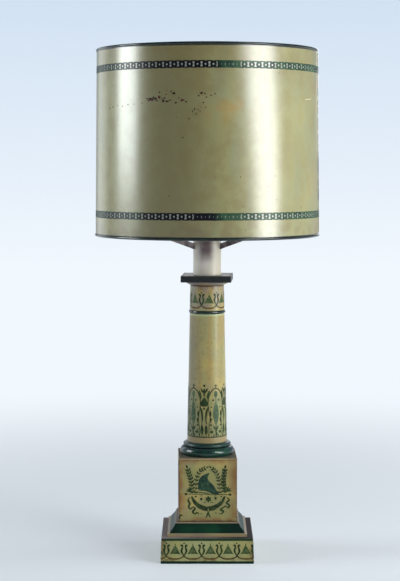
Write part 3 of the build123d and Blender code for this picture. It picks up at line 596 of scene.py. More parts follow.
slab = Paint("abacus_paint", roughness=0.3, specular=0.5, coat=0.2, coat_roughness=0.15)
slab.lay(slab.patchy(shade_of(22, 27, 29), shade_of(34, 39, 38), 0.012))
furthest = slab.math("MAXIMUM", slab.math("ABSOLUTE", slab.x), slab.math("ABSOLUTE", slab.y))
slab_rim = slab.rise(furthest, abacus_side / 2 - 5 * mm, abacus_side / 2 - 2.5 * mm)
# Painted reflection on top of the slab, with painted shade along its rim.
painted_top_reflection = slab.patchy(shade_of(142, 136, 134), shade_of(98, 92, 92), 0.01)
slab_top = slab.level(abacus_high - 0.55 * mm, abacus_high - 0.2 * mm)
slab.tint(slab.mix(slab_rim, painted_top_reflection, shade_of(52, 46, 52)), slab_top)
slab.tint(shade_of(120, 112, 98), knocks(slab, corner_share(slab, abacus_side / 2, 2 * mm, abacus_turn)))
slab.vary("Roughness", slab_top, 0.3, 0.6)
dress(slab, "abacus")

echinus = aged_cream("echinus_paint", ground=shade_of(138, 128, 126))
echinus.tint(rust, echinus.near(around(-14, 27 * mm, shaft_high + 1 * mm), 15 * mm), 0.35)
echinus.tint(shade_of(62, 38, 24), echinus.level(shaft_high + 1.6 * mm, shaft_high + 0.4 * mm), 0.85)
dress(echinus, "echinus")

# %% [markdown]
# ## Candle tube and arms
#
# The candle tube is the lightest paint of the lamp, a warm white. Its right side is darker and
# yellower: painted shade. Its front carries a painted shadow of the lampshade, darkest just under the
# collar. That shadow is a product of shares, one for each direction, so that it has no hard edge
# anywhere. The arms are the same tin with a worn grey-brown coat.

# %% Tube and arm paint
collar_low = levels("shade_collar")[0]

tube = Paint("tube_paint", roughness=0.36, specular=0.5, coat=0.2, coat_roughness=0.2)
tube.lay(tube.patchy(shade_of(240, 234, 226), shade_of(224, 216, 202), 0.03))
# Painted shade: the right side of the tube is darker and yellower.
tube.tint(shade_of(220, 212, 194), tube.rise(tube.x, -4 * mm, 12 * mm))
# Painted shadow of the lampshade on the front of the tube, darkest just under the collar.
from_middle = tube.math("ABSOLUTE", tube.math("ADD", tube.x, 2 * mm))
tube_painted_shadow_front = tube.times(tube.rise(from_middle, 17 * mm, 3 * mm), tube.rise(tube.y, 4 * mm, -12 * mm))
shadow_under_collar = tube.level(collar_low - 26 * mm, collar_low)
tube.tint(shade_of(92, 68, 80), tube_painted_shadow_front, shadow_under_collar, tube.cloud(0.010, -0.1, 0.55), 0.9)
tube.tint(shade_of(120, 104, 84), tube.level(abacus_high + 4 * mm, abacus_high), 0.2)
tube.relief(tube.noise(0.004), 0.00004)
dress(tube, "candle_tube", "shade_collar")

arm_paint = Paint("arm_paint", roughness=0.45, specular=0.4)
arm_paint.lay(arm_paint.patchy(shade_of(134, 122, 124), shade_of(82, 70, 76), 0.008, 0.35, detail=4))
arm_paint.relief(arm_paint.noise(0.003), 0.00006)
dress(arm_paint, "shade_arm_1", "shade_arm_2", "shade_arm_3")

# %% [markdown]
# ## The shade
#
# The drum is one sheet of tin with a satin yellow-green paint outside. The satin look needs two layers
# of gloss, a broad one from the paint and a tighter one from the varnish over it. The colour is built
# of slow clouds, mottling and upright streaks, then of stains at chosen places: ochre where heat has
# browned it, and grime along both edges. It is yellower towards the right, and painted shade darkens
# the left of the front.

# %% Shade paint
wall = Paint("shade_paint", roughness=0.31, specular=0.7, coat=1.0, coat_roughness=0.23)
wall.set("Coat IOR", 1.62)
shade_green = shade_of(153, 152, 108)
yellowing_from = 60 * mm
yellowing_full = 165 * mm
grime_from = 670 * mm
grime_full = 735 * mm

wall.lay(shade_green)
wall.tint(shade_of(156, 150, 98), wall.cloud(0.11, 0.36, 0.68, stretch=(1, 1, 1.6)))
wall.tint(shade_of(143, 133, 84), wall.cloud(0.02, 0.40, 0.64, detail=6), 0.75)
wall.tint(shade_of(142, 146, 114), wall.cloud(0.012, 0.45, 0.75, stretch=(1, 1, 9)), 0.5)
# The right of the shade is yellower.
yellower_right = wall.rise(wall.x, yellowing_from, yellowing_full)
wall.tint(shade_of(178, 170, 108), yellower_right, wall.cloud(0.04, 0.2, 0.7, detail=4), 0.55)
browned = [
    (10, 0.6590, 20 * mm, 0.75), (4, 0.651, 30 * mm, 0.5), (14, 0.663, 16 * mm, 0.6),
    (70, 0.560, 60 * mm, 0.2), (74, 0.690, 50 * mm, 0.3), (76, 0.490, 34 * mm, 0.25),
    (-150, 0.600, 70 * mm, 0.3),
]
for azimuth, level, reach, strength in browned:
    stain = wall.near(around(azimuth, wall_radius(level), level), reach)
    wall.tint(shade_of(182, 143, 70), stain, wall.cloud(0.02, 0.25, 0.65, detail=4), strength)
# Painted shade on the left of the front of the shade.
painted_shade_front_side = wall.rise(wall.y, 0, -60 * mm)
painted_shade_left_front = wall.times(wall.rise(wall.x, -140 * mm, -60 * mm), wall.rise(wall.x, 30 * mm, -40 * mm), painted_shade_front_side)
wall.tint(shade_of(119, 111, 76), painted_shade_left_front, 0.7)
near_head = wall.level(grime_from, grime_full)
wall.tint(shade_of(126, 112, 68), near_head, wall.cloud(0.025, 0.2, 0.6, detail=4), 0.45)
wall.tint(primer, wall.cloud(0.0026, 0.725, 0.775, detail=2), 0.6)
wall.tint(shade_of(112, 92, 62), wall.cloud(0.0062, 0.70, 0.74), 0.6)
lower_edge = wall.level(wall_low + 30 * mm, wall_low + 8 * mm)
wall.tint(shade_of(118, 98, 80), lower_edge, wall.cloud(0.02, 0.3, 0.6), 0.3)

# %% [markdown]
# ## Lines, seam and inside of the shade
#
# A dark line runs along each bead: dark edge paint, which under the top bead is also a painted
# shadow. A pale strip lies under each chain band, to show in its windows. At the lap of the seam the
# paint has torn and caught dirt: there a share that is high beside the lap is added to noise, so that
# the noise tears its edge. The inside is off-white, which throws the light down. Outside and inside
# are told apart by the distance from the axis: the sheet is half a millimetre thick, and the share
# switches in the middle of it.

# %% Lines and seam
band_height = 10.3
band_levels = {"upper": 715.0, "lower": 506.2}
strip_inset = 0.9
top_bead_foot = levels("top_rim_bead")[0]
bottom_bead_head = levels("bottom_rim_bead")[1]

# Dark edge paint along both beads; under the top bead it is also a painted shadow.
bead_lines_and_shadow = wall.either(
    wall.level(top_bead_foot - 1.6 * mm, top_bead_foot - 0.8 * mm),
    wall.level(bottom_bead_head + 1.2 * mm, bottom_bead_head + 0.5 * mm),
)
wall.tint(shade_of(20, 28, 24), bead_lines_and_shadow, 0.9)
for band_level in band_levels.values():
    strip_foot = (band_level + strip_inset) * mm
    strip_head = (band_level + band_height - strip_inset) * mm
    wall.tint(shade_of(190, 194, 190), wall.band(strip_foot, strip_head, 0.2 * mm), 0.65)
tear_foot = wall_low + 36 * mm
tear_head = 710 * mm
lap_side = wall.rise(wall.x, 100 * mm, 110 * mm)
beside_lap = wall.times(wall.rise(wall.y, -34 * mm, -23 * mm), wall.rise(wall.y, -14 * mm, -15.5 * mm))
above_tear_foot = wall.level(tear_foot, tear_foot + 20 * mm)
tear_length = wall.times(above_tear_foot, wall.level(tear_head, tear_head - 25 * mm))
near_lap = wall.times(lap_side, wall.times(beside_lap, tear_length))
torn = wall.math("ADD", wall.noise(0.006, 4, stretch=(1, 1, 1.8)), wall.times(near_lap, 0.44))
torn_tone = wall.patchy(shade_of(62, 57, 46), shade_of(196, 192, 162), 0.005, 0.56, 0.61)
wall.tint(torn_tone, wall.rise(torn, 0.80, 0.84))
print("pale strips under the bands at", list(band_levels.values()), "mm")

# %% Inside and outside
half_sheet = 0.25 * mm
flat_place = wall.node("CombineXYZ", wall.x, wall.y).outputs[0]
from_axis = wall.node("VectorMath", flat_place, operation="LENGTH").outputs["Value"]
wall_slope = (wall_head - wall_foot) / (wall_high - wall_low)
middle_at_floor = wall_foot - half_sheet - wall_slope * wall_low
middle_radius = wall.math("ADD", wall.times(wall.z, wall_slope), middle_at_floor)
outside = wall.math("GREATER_THAN", from_axis, middle_radius)
inner_white = wall.patchy(shade_of(214, 210, 196), shade_of(196, 188, 166), 0.05)
wall.lay(wall.mix(outside, inner_white, wall.reached))
wall.relief(wall.noise(0.045, 2, stretch=(1, 1, 2)), 0.0004)
dress(wall, "shade_wall")

# %% [markdown]
# ## Metals, mouldings and glass inside
#
# The pieces that make the lamp work are steel, cast iron, brass, card, black plastic and glass. They
# are plain, but none is new: brass goes brown in patches, iron is rough from the sand mould, and
# steel carries a grey film. One function mixes any of them from a light tone, a dark tone and the
# size of their patches. The bulb is frosted, so little light goes straight through it.

# %% Plain stock
def plain_stock(name, light, dark, patch, roughness, metallic=0.0, grain=0.00003, **gloss):
    """A metal, plastic, card or cloth with two tones in patches and a fine grain."""
    pot = Paint(name, roughness=roughness, metallic=metallic, **gloss)
    pot.lay(pot.patchy(shade_of(*light), shade_of(*dark), patch, 0.38, 0.66, detail=4))
    pot.relief(pot.noise(patch / 6), grain)
    return pot


steel = plain_stock("steel", (176, 176, 172), (130, 128, 124), 0.01, 0.38, metallic=1.0)
dress(steel, "bottom_washer", "bottom_nut", "lamp_pipe", "shaft_disc_lower", "shaft_disc_upper", "tube_seat")
cast_iron = plain_stock("cast_iron", (74, 70, 66), (104, 72, 52), 0.02, 0.7, metallic=0.6, grain=0.0004)
dress(cast_iron, "base_weight")
brass = plain_stock("brass", (196, 160, 92), (128, 96, 56), 0.008, 0.32, metallic=1.0)
dress(brass, "top_nut", "tube_cap", "socket_cap", "socket_shell", "screw_shell", "centre_contact",
      "terminal_screws", "clamp_screw")
dress(plain_stock("cap_alloy", (198, 198, 194), (150, 150, 146), 0.006, 0.3, metallic=1.0), "bulb_cap")
black = plain_stock("black_plastic", (34, 32, 31), (52, 47, 43), 0.006, 0.35)
dress(black, "socket_core", "bulb_insulator", "switch_key")
dress(plain_stock("bushing_rubber", (44, 42, 40), (66, 62, 58), 0.004, 0.7), "cord_bushing")
dress(plain_stock("fibre_card", (150, 118, 82), (118, 90, 62), 0.005, 0.8, grain=0.00008), "socket_liner")
felt = plain_stock("felt", (34, 70, 48), (22, 48, 34), 0.003, 0.95, specular=0.1, grain=0.0003)
dress(felt, "felt_pad")
stem_glass = plain_stock("stem_glass", (196, 200, 200), (160, 164, 166), 0.01, 0.25, metallic=0.3)
dress(stem_glass, "filament_mount")
frosted = plain_stock("frosted_glass", (240, 240, 236), (226, 226, 222), 0.02, 0.45, grain=0.00002)
frosted.set("Transmission Weight", 0.15)
dress(frosted, "bulb_glass")


# %% [markdown]
# ## Drawing the ornament
#
# The stencils are real layers of paint. Each motif is drawn flat in millimetres with four tools of a
# decorator: a spot, a leaf, a brush stroke of changing width, and a smooth closed outline. All of
# them give plain lists of points, so that motifs can be moved, mirrored and repeated before they
# become a mesh.

# %% Decorator's tools
def spot(x, y, across, up=None, steps=10):
    up = across if up is None else up
    return [[(x + across / 2 * cos(2 * pi * i / steps), y + up / 2 * sin(2 * pi * i / steps))
             for i in range(steps)]]


def leaf(x, y, length, width, heading, steps=4):
    """A pointed leaf that grows from (x, y) in a heading, in degrees from the right."""
    along = (cos(radians(heading)), sin(radians(heading)))
    side = (-along[1], along[0])
    edge = []
    for sign, indices in ((-1, range(steps)), (1, range(steps, 0, -1))):
        for share in [i / steps for i in indices]:
            bulge = sign * width / 2 * sin(pi * share) ** 0.8 if 0 < share < 1 else 0
            edge.append((x + along[0] * length * share + side[0] * bulge,
                         y + along[1] * length * share + side[1] * bulge))
    return [edge]


def through(knots, steps, closed=False):
    """Points of a smooth curve through knots. A knot may have more numbers than x and y."""
    count = len(knots)
    pick = (lambda i: knots[i % count]) if closed else (lambda i: knots[max(0, min(count - 1, i))])
    found = []
    for i in range(count if closed else count - 1):
        before, start, end, after = pick(i - 1), pick(i), pick(i + 1), pick(i + 2)
        span = hypot(end[0] - start[0], end[1] - start[1])
        lead = hypot(start[0] - before[0], start[1] - before[1]) + span
        follow = hypot(after[0] - end[0], after[1] - end[1]) + span
        for step in range(steps):
            t = step / steps
            found.append([
                (2 * t**3 - 3 * t * t + 1) * b + (t**3 - 2 * t * t + t) * (c - a) * span / lead
                + (3 * t * t - 2 * t**3) * c + (t**3 - t * t) * (d - b) * span / follow
                for a, b, c, d in zip(before, start, end, after)
            ])
    return found if closed else found + [list(knots[-1])]


def stroke(*knots, steps=4):
    """A brush stroke through knots of (x, y, width), as a row of three-sided patches."""
    line = through(knots, steps)
    sides = []
    for i, (x, y, width) in enumerate(line):
        ahead, behind = line[min(i + 1, len(line) - 1)], line[max(i - 1, 0)]
        run = hypot(ahead[0] - behind[0], ahead[1] - behind[1])
        across = (-(ahead[1] - behind[1]) / run * width / 2, (ahead[0] - behind[0]) / run * width / 2)
        sides.append(((x - across[0], y - across[1]), (x + across[0], y + across[1])))
    halves = [[[a[0], b[0], b[1]], [a[0], b[1], a[1]]] for a, b in zip(sides, sides[1:])]
    return [half for pair in halves for half in pair]


def outline(*knots, steps=3):
    return [[(x, y) for x, y in through(knots, steps, closed=True)]]


def moved(shapes, dx=0.0, dy=0.0, widen=1.0):
    return [[(x * widen + dx, y + dy) for x, y in shape] for shape in shapes]


def mirrored(shapes):
    """The shapes and their mirror images, left and right of x = 0."""
    return shapes + [[(-x, y) for x, y in reversed(shape)] for shape in shapes]


print("a leaf has", len(leaf(0, 0, 5, 2, 90)[0]), "points")


# %% [markdown]
# ## From drawing to paint layer
#
# A motif becomes a closed film. Its flat outlines overlap freely, so they are first merged by a
# constrained triangulation, which also keeps the windows open and can cut the film along upright
# lines. Those cuts let the film follow a round column or fold round a corner. Then every point is
# lifted to the surface that carries it: the film's face stands 0.12 mm proud of it, and its back lies
# 0.06 mm inside the tin, so that no gap shows.

# %% Surfaces that carry paint
def on_round(radius_at, radius_drawn, azimuth=0.0):
    """A round surface. u runs round it in millimetres at radius_drawn, and v is the height in mm."""
    def place(u, v, lift):
        turn = radians(azimuth) + u * mm / radius_drawn
        radius = radius_at(v * mm) + lift
        return radius * sin(turn), -radius * cos(turn), v * mm
    return place


def on_square(half_at, half_drawn, turn=0.0):
    """A square storey, all four faces in one run. u starts at the middle of the front face."""
    side = 2 * half_drawn / mm
    def place(u, v, lift):
        face = floor((u + side / 2) / side)
        half = half_at(v * mm) + lift
        x, y = (u - face * side) * mm * half / half_drawn, -half
        angle = face * pi / 2 + turn
        return x * cos(angle) - y * sin(angle), x * sin(angle) + y * cos(angle), v * mm
    return place


shaft_front = on_round(shaft_radius, shaft_foot)(0, shaft_low / mm, 0)
print("the shaft's foot at the front:", [round(c / mm, 1) for c in shaft_front], "mm")

# %% Filling and lifting
film_proud = 0.12 * mm
film_back = 0.06 * mm


def upright_cuts(shapes, step):
    """Pairs of points, for upright lines every step millimetres across the shapes."""
    xs = [x for shape in shapes for x, _ in shape]
    ys = [y for shape in shapes for _, y in shape]
    first, last = floor(min(xs) / step) + 1, floor(max(xs) / step)
    return [((i * step, min(ys) - 1), (i * step, max(ys) + 1)) for i in range(first, last + 1)]


def filled(shapes, windows=(), step=None):
    """Triangles inside the shapes and outside the windows, cut upright every step millimetres."""
    points, faces, edges = [], [], []
    for shape in [*shapes, *windows]:
        turning = sum(a[0] * b[1] - b[0] * a[1] for a, b in zip(shape, shape[1:] + shape[:1]))
        ordered = shape if turning > 0 else shape[::-1]
        faces.append(list(range(len(points), len(points) + len(ordered))))
        points += [Vector(p) for p in ordered]
    for start, end in upright_cuts(shapes, step) if step else ():
        edges.append((len(points), len(points) + 1))
        points += [Vector(start), Vector(end)]
    flat, _, triangles, _, _, owners = delaunay_2d_cdt(points, edges, faces, 0, 1e-4)
    kept = [t for t, own in zip(triangles, owners) if own and max(own) < len(shapes)]
    return [(p.x, p.y) for p in flat], kept


def film(name, drawings, place, paint, body):
    """One closed piece of paint from (flat points, triangles) drawings, riding on a body."""
    corners, triangles = {}, []
    for flat, faces in drawings:
        for face in faces:
            keys = [(round(flat[i][0], 3), round(flat[i][1], 3)) for i in face]
            if len(set(keys)) == 3:
                triangles.append([corners.setdefault(key, len(corners)) for key in keys])
    front = [place(u, v, film_proud) for u, v in corners]
    back = [place(u, v, -film_back) for u, v in corners]
    count = len(front)
    sides = {}
    for a, b, c in triangles:
        for edge in ((a, b), (b, c), (c, a)):
            if edge[::-1] in sides:
                del sides[edge[::-1]]
            else:
                sides[edge] = True
    faces = triangles + [[c + count, b + count, a + count] for a, b, c in triangles]
    faces += [[b, a, a + count, b + count] for a, b in sides]
    mesh = bpy.data.meshes.new(name)
    mesh.from_pydata(front + back, [], faces)
    mesh.shade_smooth()
    mesh.set_sharp_from_angle(angle=radians(35))
    mesh.materials.append(paint.material)
    piece = bpy.data.objects.new(name, mesh)
    bpy.context.scene.collection.objects.link(piece)
    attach(piece, body)
    print(name, "has", len(faces), "faces")


print("a spot fills with", len(filled(spot(0, 0, 5))[1]), "triangles")

# %% [markdown]
# ## Ornament paints
#
# Stencil green is thin and has rubbed through in places, so that the cream shows as fine spots. The
# brown of the festoons, the chips and the scratch on the shade are mixed in the same way. The chain
# bands have a thicker green that doesn't rub through. Over a long stretch at the left of the front
# they are painted nearly black, as painted shade, and further round they are slate grey.

# %% Ornament paints
def stencil_paint(name, light, dark, worn_to=cream, wear=0.0):
    """A thin paint in two tones. Wear above 0 shows more of what lies under it, below 0 less."""
    pot = Paint(name, roughness=0.4, specular=0.22, coat=0.06, coat_roughness=0.25)
    pot.lay(pot.patchy(shade_of(*dark), shade_of(*light), 0.006, 0.35, 0.65))
    pot.tint(worn_to, pot.cloud(0.0022, 0.60 - wear, 0.72 - wear, detail=4), 0.8)
    return pot


stencil_green = stencil_paint("stencil_green", (52, 72, 38), (30, 46, 26))
stencil_leaf = stencil_paint("stencil_leaf_green", (80, 100, 60), (54, 74, 44))
stencil_cap = stencil_paint("stencil_cap_green", (48, 80, 60), (30, 56, 46), wear=-0.03)
stencil_teal = stencil_paint("stencil_teal", (90, 112, 80), (62, 84, 60))
festoon_brown = stencil_paint("festoon_brown", (102, 76, 32), (74, 56, 28), wear=-0.02)
chip_brown = stencil_paint("chip_brown", (84, 50, 42), (46, 32, 34), shade_of(130, 110, 84), wear=-0.06)
scratch_pale = stencil_paint("scratch_pale", (232, 230, 190), (214, 212, 170), shade_green)

band_paint = Paint("band_paint", roughness=0.34, specular=0.3, coat=0.1, coat_roughness=0.22)
band_paint.lay(band_paint.patchy(shade_of(54, 86, 62), shade_of(32, 60, 48), 0.012, 0.35, 0.65))
band_paint.tint(shade_of(34, 44, 50), band_paint.rise(band_paint.x, -40 * mm, -120 * mm), 0.7)
# Painted shade: the bands go nearly black over a stretch at the left of the front.
painted_shade_stretch = band_paint.either(
    band_paint.near(around(-18, wall_radius(0.72), 0.72), 118 * mm),
    band_paint.near(around(-15, wall_radius(0.511), 0.511), 104 * mm),
)
painted_shade_blotched = band_paint.math("ADD", painted_shade_stretch, band_paint.times(band_paint.noise(0.02), 0.2))
nearly_black = band_paint.patchy(shade_of(14, 19, 30), shade_of(5, 7, 14), 0.006, 0.35, 0.65)
band_paint.tint(nearly_black, band_paint.rise(painted_shade_blotched, 0.42, 0.62))
print("a stencil paint has", len(stencil_green.tree.nodes), "nodes")

# %% [markdown]
# ## The frieze of tents and lyres
#
# One repeat of the frieze is a small tent and a lyre, with a festoon that swings below the tent from
# lyre to lyre. It runs round the plinth without a break, folding at the corners, and a second one
# runs round the neck of the column. The unit is drawn once, and both friezes are made from it. On the
# plinth the film is cut at every fold and in the middle of every face, and on the neck every 2 mm.

# %% One repeat of the frieze
def tent():
    body = outline((-7.9, 0.0), (-6.2, 2.6), (-4.2, 6.4), (-2.1, 10.4), (0, 13.4), (2.1, 10.4), (4.2, 6.4),
                   (6.2, 2.6), (7.9, 0.0), (3.4, 0.6), (0, 0.3), (-3.4, 0.6))
    return body + spot(0, 14.6, 1.8, 2.0)


def tent_windows():
    veins = leaf(-1.0, 1.8, 6.6, 0.3, 83) + leaf(1.0, 1.8, 6.6, 0.3, 97)
    return veins + leaf(-3.2, 1.5, 4.6, 0.3, 70) + leaf(3.2, 1.5, 4.6, 0.3, 110)


def lyre():
    arm = stroke((-1.5, -4.6, 1.2), (0.5, -1.6, 1.8), (2.7, 2.0, 2.5), (3.6, 5.4, 3.0), (2.6, 8.8, 2.5),
                 (2.2, 11.2, 2.5), (3.2, 13.2, 3.0), (5.0, 12.2, 2.3))
    return mirrored(arm) + spot(0, 16.0, 2.4)


def festoon(pitch, sag=7.0):
    half = pitch / 2
    return stroke((-half, -2.4, 1.3), (-half * 0.6, -sag * 0.88, 1.9), (0, -sag, 2.3),
                  (half * 0.6, -sag * 0.88, 1.9), (half, -2.4, 1.3), steps=3)


print("lyre:", len(lyre()), "patches")


# %% Plinth frieze
def frieze(name, place, repeats, pitch, first, base, step, widen=1.0):
    """Both layers of a frieze: the green motifs and the brown festoon."""
    tents, windows, lyres, festoons = [], [], [], []
    for i in range(repeats):
        u = first + i * pitch
        tents += moved(tent(), u, base, widen)
        windows += moved(tent_windows(), u, base, widen)
        lyres += moved(lyre(), u + pitch / 2, base, widen)
        festoons += moved(festoon(pitch), u, base)
    film(name + "_tents", [filled(tents, windows, step)], place, stencil_leaf, "stand")
    film(name + "_lyres", [filled(lyres, step=step)], place, stencil_green, "stand")
    film(name + "_festoon", [filled(festoons, step=step)], place, festoon_brown, "stand")


plinth_head_half = 67.2 * mm
plinth_half_at = tapered(plinth_foot_half, plinth_low, plinth_head_half, plinth_high)
frieze_half = 67.8 * mm
plinth_repeats = 21
plinth_pitch = 8 * frieze_half / mm / plinth_repeats
frieze("plinth", on_square(plinth_half_at, frieze_half), plinth_repeats, plinth_pitch, first=4.7, base=14.4,
       step=frieze_half / mm)

# %% Neck frieze
neck_repeats = 7
neck_radius = shaft_radius(384 * mm)
neck_pitch = 2 * pi * neck_radius / mm / neck_repeats
frieze("neck", on_round(shaft_radius, neck_radius, azimuth=6.5), neck_repeats, neck_pitch, first=0.0,
       base=379.0, step=2.0, widen=0.9)

# %% [markdown]
# ## The panel at the foot of the shaft
#
# Five pointed arches stand round the shaft, each with a slender term under it, and a candelabrum of
# leaves and an urn between each two. They all stand on one thin line.

# %% One repeat of the panel
def arch():
    side = stroke((0.0, 73.2, 1.4), (5.0, 70.6, 1.7), (9.2, 64.8, 1.7), (11.8, 57.0, 1.5), (12.2, 46.0, 1.2),
                  (10.4, 36.0, 1.0), (9.4, 26.0, 0.9), (11.0, 14.0, 0.9), (10.6, 3.0, 0.9))
    dots = spot(4.6, 55.2, 2.9) + spot(7.4, 44.8, 2.4) + spot(8.0, 18.2, 3.0)
    scrolls = leaf(4.6, 17.6, 11.6, 2.8, 240) + spot(6.8, 8.0, 5.4, 4.4) + spot(3.4, 3.4, 2.0)
    scrolls += spot(8.6, 12.0, 2.0)
    beads = leaf(8.2, 20.5, 9.8, 2.7, 90) + leaf(8.4, 30.0, 10.5, 2.6, 88) + spot(6.6, 26.4, 2.0, 1.6)
    finial = stroke((0, 73.2, 1.3), (0, 78.6, 1.2), steps=1)
    finial += stroke((-2.6, 76.6, 1.2), (2.6, 76.6, 1.2), steps=1)
    pedestal = stroke((0, 19.0, 1.3), (0, 1.0, 2.0), steps=2)
    pedestal += stroke((0, 8.6, 1.2), (2.0, 4.6, 1.4), (3.4, 2.0, 1.0))
    return mirrored(side + dots + scrolls + beads) + finial + pedestal


def term():
    body = outline((0, 57.0), (1.3, 52.0), (2.8, 47.4), (4.0, 42.6), (4.6, 37.0), (4.6, 31.0), (3.9, 26.0),
                   (2.6, 21.8), (0, 18.6), (-2.6, 21.8), (-3.9, 26.0), (-4.6, 31.0), (-4.6, 37.0),
                   (-4.0, 42.6), (-2.8, 47.4), (-1.3, 52.0))
    return body + stroke((0, 61.0, 1.2), (0, 55.0, 1.6), steps=1) + spot(0, 64.4, 6.2, 9.0)


def candelabrum():
    crown = leaf(0, 60.0, 13.6, 4.2, 90) + leaf(2.0, 66.0, 8.4, 3.0, 68) + leaf(-2.0, 66.0, 8.4, 3.0, 112)
    plumes = leaf(4.8, 56.6, 14.2, 4.2, 77) + spot(4.2, 60.6, 1.8)
    urn = outline((0, 59.6), (3.0, 56.4), (5.4, 50.2), (4.4, 46.8), (0, 45.8), (-4.4, 46.8), (-5.4, 50.2),
                  (-3.0, 56.4))
    stalk = stroke((7.0, 45.4, 1.6), (4.4, 40.4, 3.0), (3.0, 33.0, 2.8), (2.6, 26.0, 1.7), (4.0, 18.0, 0.9),
                   (5.4, 6.0, 0.9))
    foot = leaf(2.7, 2.2, 17.0, 3.8, 90) + leaf(6.2, 1.6, 6.0, 1.8, 74)
    return mirrored(plumes + stalk + foot) + crown + urn + spot(0, 76.8, 3.7) + spot(0, 42.8, 3.7)


def ground_line(pitch):
    teeth = [s for i in range(10) for s in spot(-pitch / 2 + (i + 0.5) * pitch / 10, 1.4, 2.0, 1.8, steps=6)]
    return stroke((-pitch / 2, 0, 1.3), (0, 0, 1.3), (pitch / 2, 0, 1.3), steps=1) + teeth


print("arch:", len(arch()), "shapes, candelabrum:", len(candelabrum()), "shapes")

# %% Column panel
panel_repeats = 5
panel_radius = shaft_radius(215 * mm)
panel_pitch = 2 * pi * panel_radius / mm / panel_repeats
panel_base = 180.4
panel_step = 2.0


def round_the_shaft(motif, shift=0.0):
    """A motif at every repeat of the panel."""
    return [s for i in range(panel_repeats) for s in moved(motif, i * panel_pitch + shift, panel_base)]


shaft_place = on_round(shaft_radius, panel_radius, azimuth=27)
terms = filled(round_the_shaft(term()), step=panel_step)
film("column_terms", [terms], shaft_place, stencil_teal, "stand")
lines = round_the_shaft(arch()) + round_the_shaft(candelabrum(), panel_pitch / 2)
lines += round_the_shaft(ground_line(panel_pitch), panel_pitch / 4)
film("column_lines", [filled(lines, step=panel_step)], shaft_place, stencil_green, "stand")

# %% [markdown]
# ## The trophy on the pedestal
#
# Each face of the pedestal shows the same trophy of traditional motifs: a cap on a rod, between palm
# branches and a laurel wreath, with a hanging garland, a rosette and ribbons. Leaves are placed along
# a curve by a short function, so that a branch is described by its line alone. A small curled mark in
# the lower left corner is on the front face only.

# %% Branches
def branch(knots, leaves, length, width, spread, stem=0.6):
    """Leaves in pairs along a curve, on a thin stem, with one leaf at the tip."""
    line = through(knots, leaves)
    shapes = stroke(*[(x, y, stem) for x, y in knots], steps=3)
    for here, ahead in zip(line, line[1:]):
        heading = atan2(ahead[1] - here[1], ahead[0] - here[0]) * 180 / pi
        shapes += leaf(*here, length, width, heading + spread) + leaf(*here, length, width, heading - spread)
    tip = atan2(line[-1][1] - line[-2][1], line[-1][0] - line[-2][0]) * 180 / pi
    return shapes + leaf(*line[-1], length, width, tip)


def palms_and_wreath():
    """The upper half, above the rod."""
    shapes = branch([(-23.4, 42.0), (-25.4, 61.6), (-30.4, 78.6)], 4, 6.6, 2.8, 40, 1.0)
    shapes += branch([(25.0, 42.6), (22.4, 60.4), (24.6, 78.0)], 4, 6.4, 3.2, 38, 2.0)
    shapes += branch([(-18.4, 42.0), (-17.8, 60.4), (-12.6, 74.8), (-3.4, 80.0)], 3, 5.0, 2.4, 48, 0.7)
    shapes += branch([(17.2, 42.0), (15.8, 59.4), (12.4, 72.4), (5.0, 79.6)], 3, 5.0, 2.4, 48, 0.7)
    for heading in (12, 38, 66):
        shapes += leaf(26.6, 44.4, 8.6, 2.6, heading) + leaf(-25.0, 44.4, 8.4, 2.4, 180 - heading)
    return shapes


def rod_and_garland():
    rod_height = 41.0
    shapes = stroke((-32.6, rod_height, 1.0), (0, rod_height - 0.6, 1.0), (32.6, rod_height - 1.2, 1.0),
                    steps=2)
    shapes += spot(-32.8, rod_height, 4.0) + spot(32.4, rod_height - 1.2, 3.8)
    for side in (-1, 1):
        shapes += stroke((side * 0.35, 18.6, 7.4), (side * 8.0, 20.2, 7.2), (side * 15.0, 24.0, 6.0),
                         (side * 20.6, 29.8, 4.8), (side * 24.6, 37.4, 2.4))
    return shapes


def ribbons():
    """The two ribbons at the ends of the garland, which are not alike."""
    left = stroke((-27.6, 36.0, 1.4), (-29.4, 31.4, 2.9), (-27.2, 26.4, 3.1), (-29.0, 21.8, 2.7),
                  (-25.8, 18.6, 2.2), (-22.6, 21.6, 1.7), (-19.4, 19.0, 2.5), (-22.8, 14.6, 2.8),
                  (-19.8, 11.4, 2.5), (-16.6, 13.0, 2.0), (-13.4, 11.0, 1.5))
    right = stroke((27.6, 35.8, 1.4), (30.8, 31.6, 2.6), (26.8, 27.4, 2.4), (31.2, 23.8, 2.9),
                   (29.6, 20.2, 2.4), (25.6, 22.6, 1.7), (22.2, 20.4, 2.0), (18.0, 17.2, 2.6),
                   (22.4, 15.0, 2.8), (20.6, 12.0, 1.9), (17.0, 10.8, 1.4))
    return left + right


def rosette_and_tassel():
    shapes = spot(-18.4, 37.2, 2.8) + spot(-10.2, 38.2, 1.9) + spot(-10.2, 33.4, 3.9, 4.6)
    shapes += spot(10.8, 34.6, 3.7, 4.8) + spot(19.2, 37.2, 2.4) + spot(10.4, 38.6, 1.6)
    shapes += spot(0, 33.0, 3.6) + [s for i in range(6) for s in leaf(0, 33.0, 5.2, 3.0, 30 + 60 * i)]
    shapes += leaf(-3.0, 28.6, 4.4, 1.3, 190) + leaf(3.0, 28.6, 4.4, 1.3, -10)
    shapes += spot(0, 13.8, 2.6, 3.0) + stroke((-0.4, 12.8, 1.9), (-1.6, 9.0, 2.0), (-3.0, 5.4, 2.0))
    shapes += stroke((0.4, 12.8, 1.9), (1.6, 9.0, 2.0), (3.0, 5.4, 2.0)) + spot(0, 10.4, 2.4)
    shapes += leaf(-8.6, 12.0, 3.2, 1.3, 200) + leaf(9.6, 13.0, 3.4, 1.4, -24)
    return shapes + leaf(15.0, 11.6, 2.8, 1.2, -10)


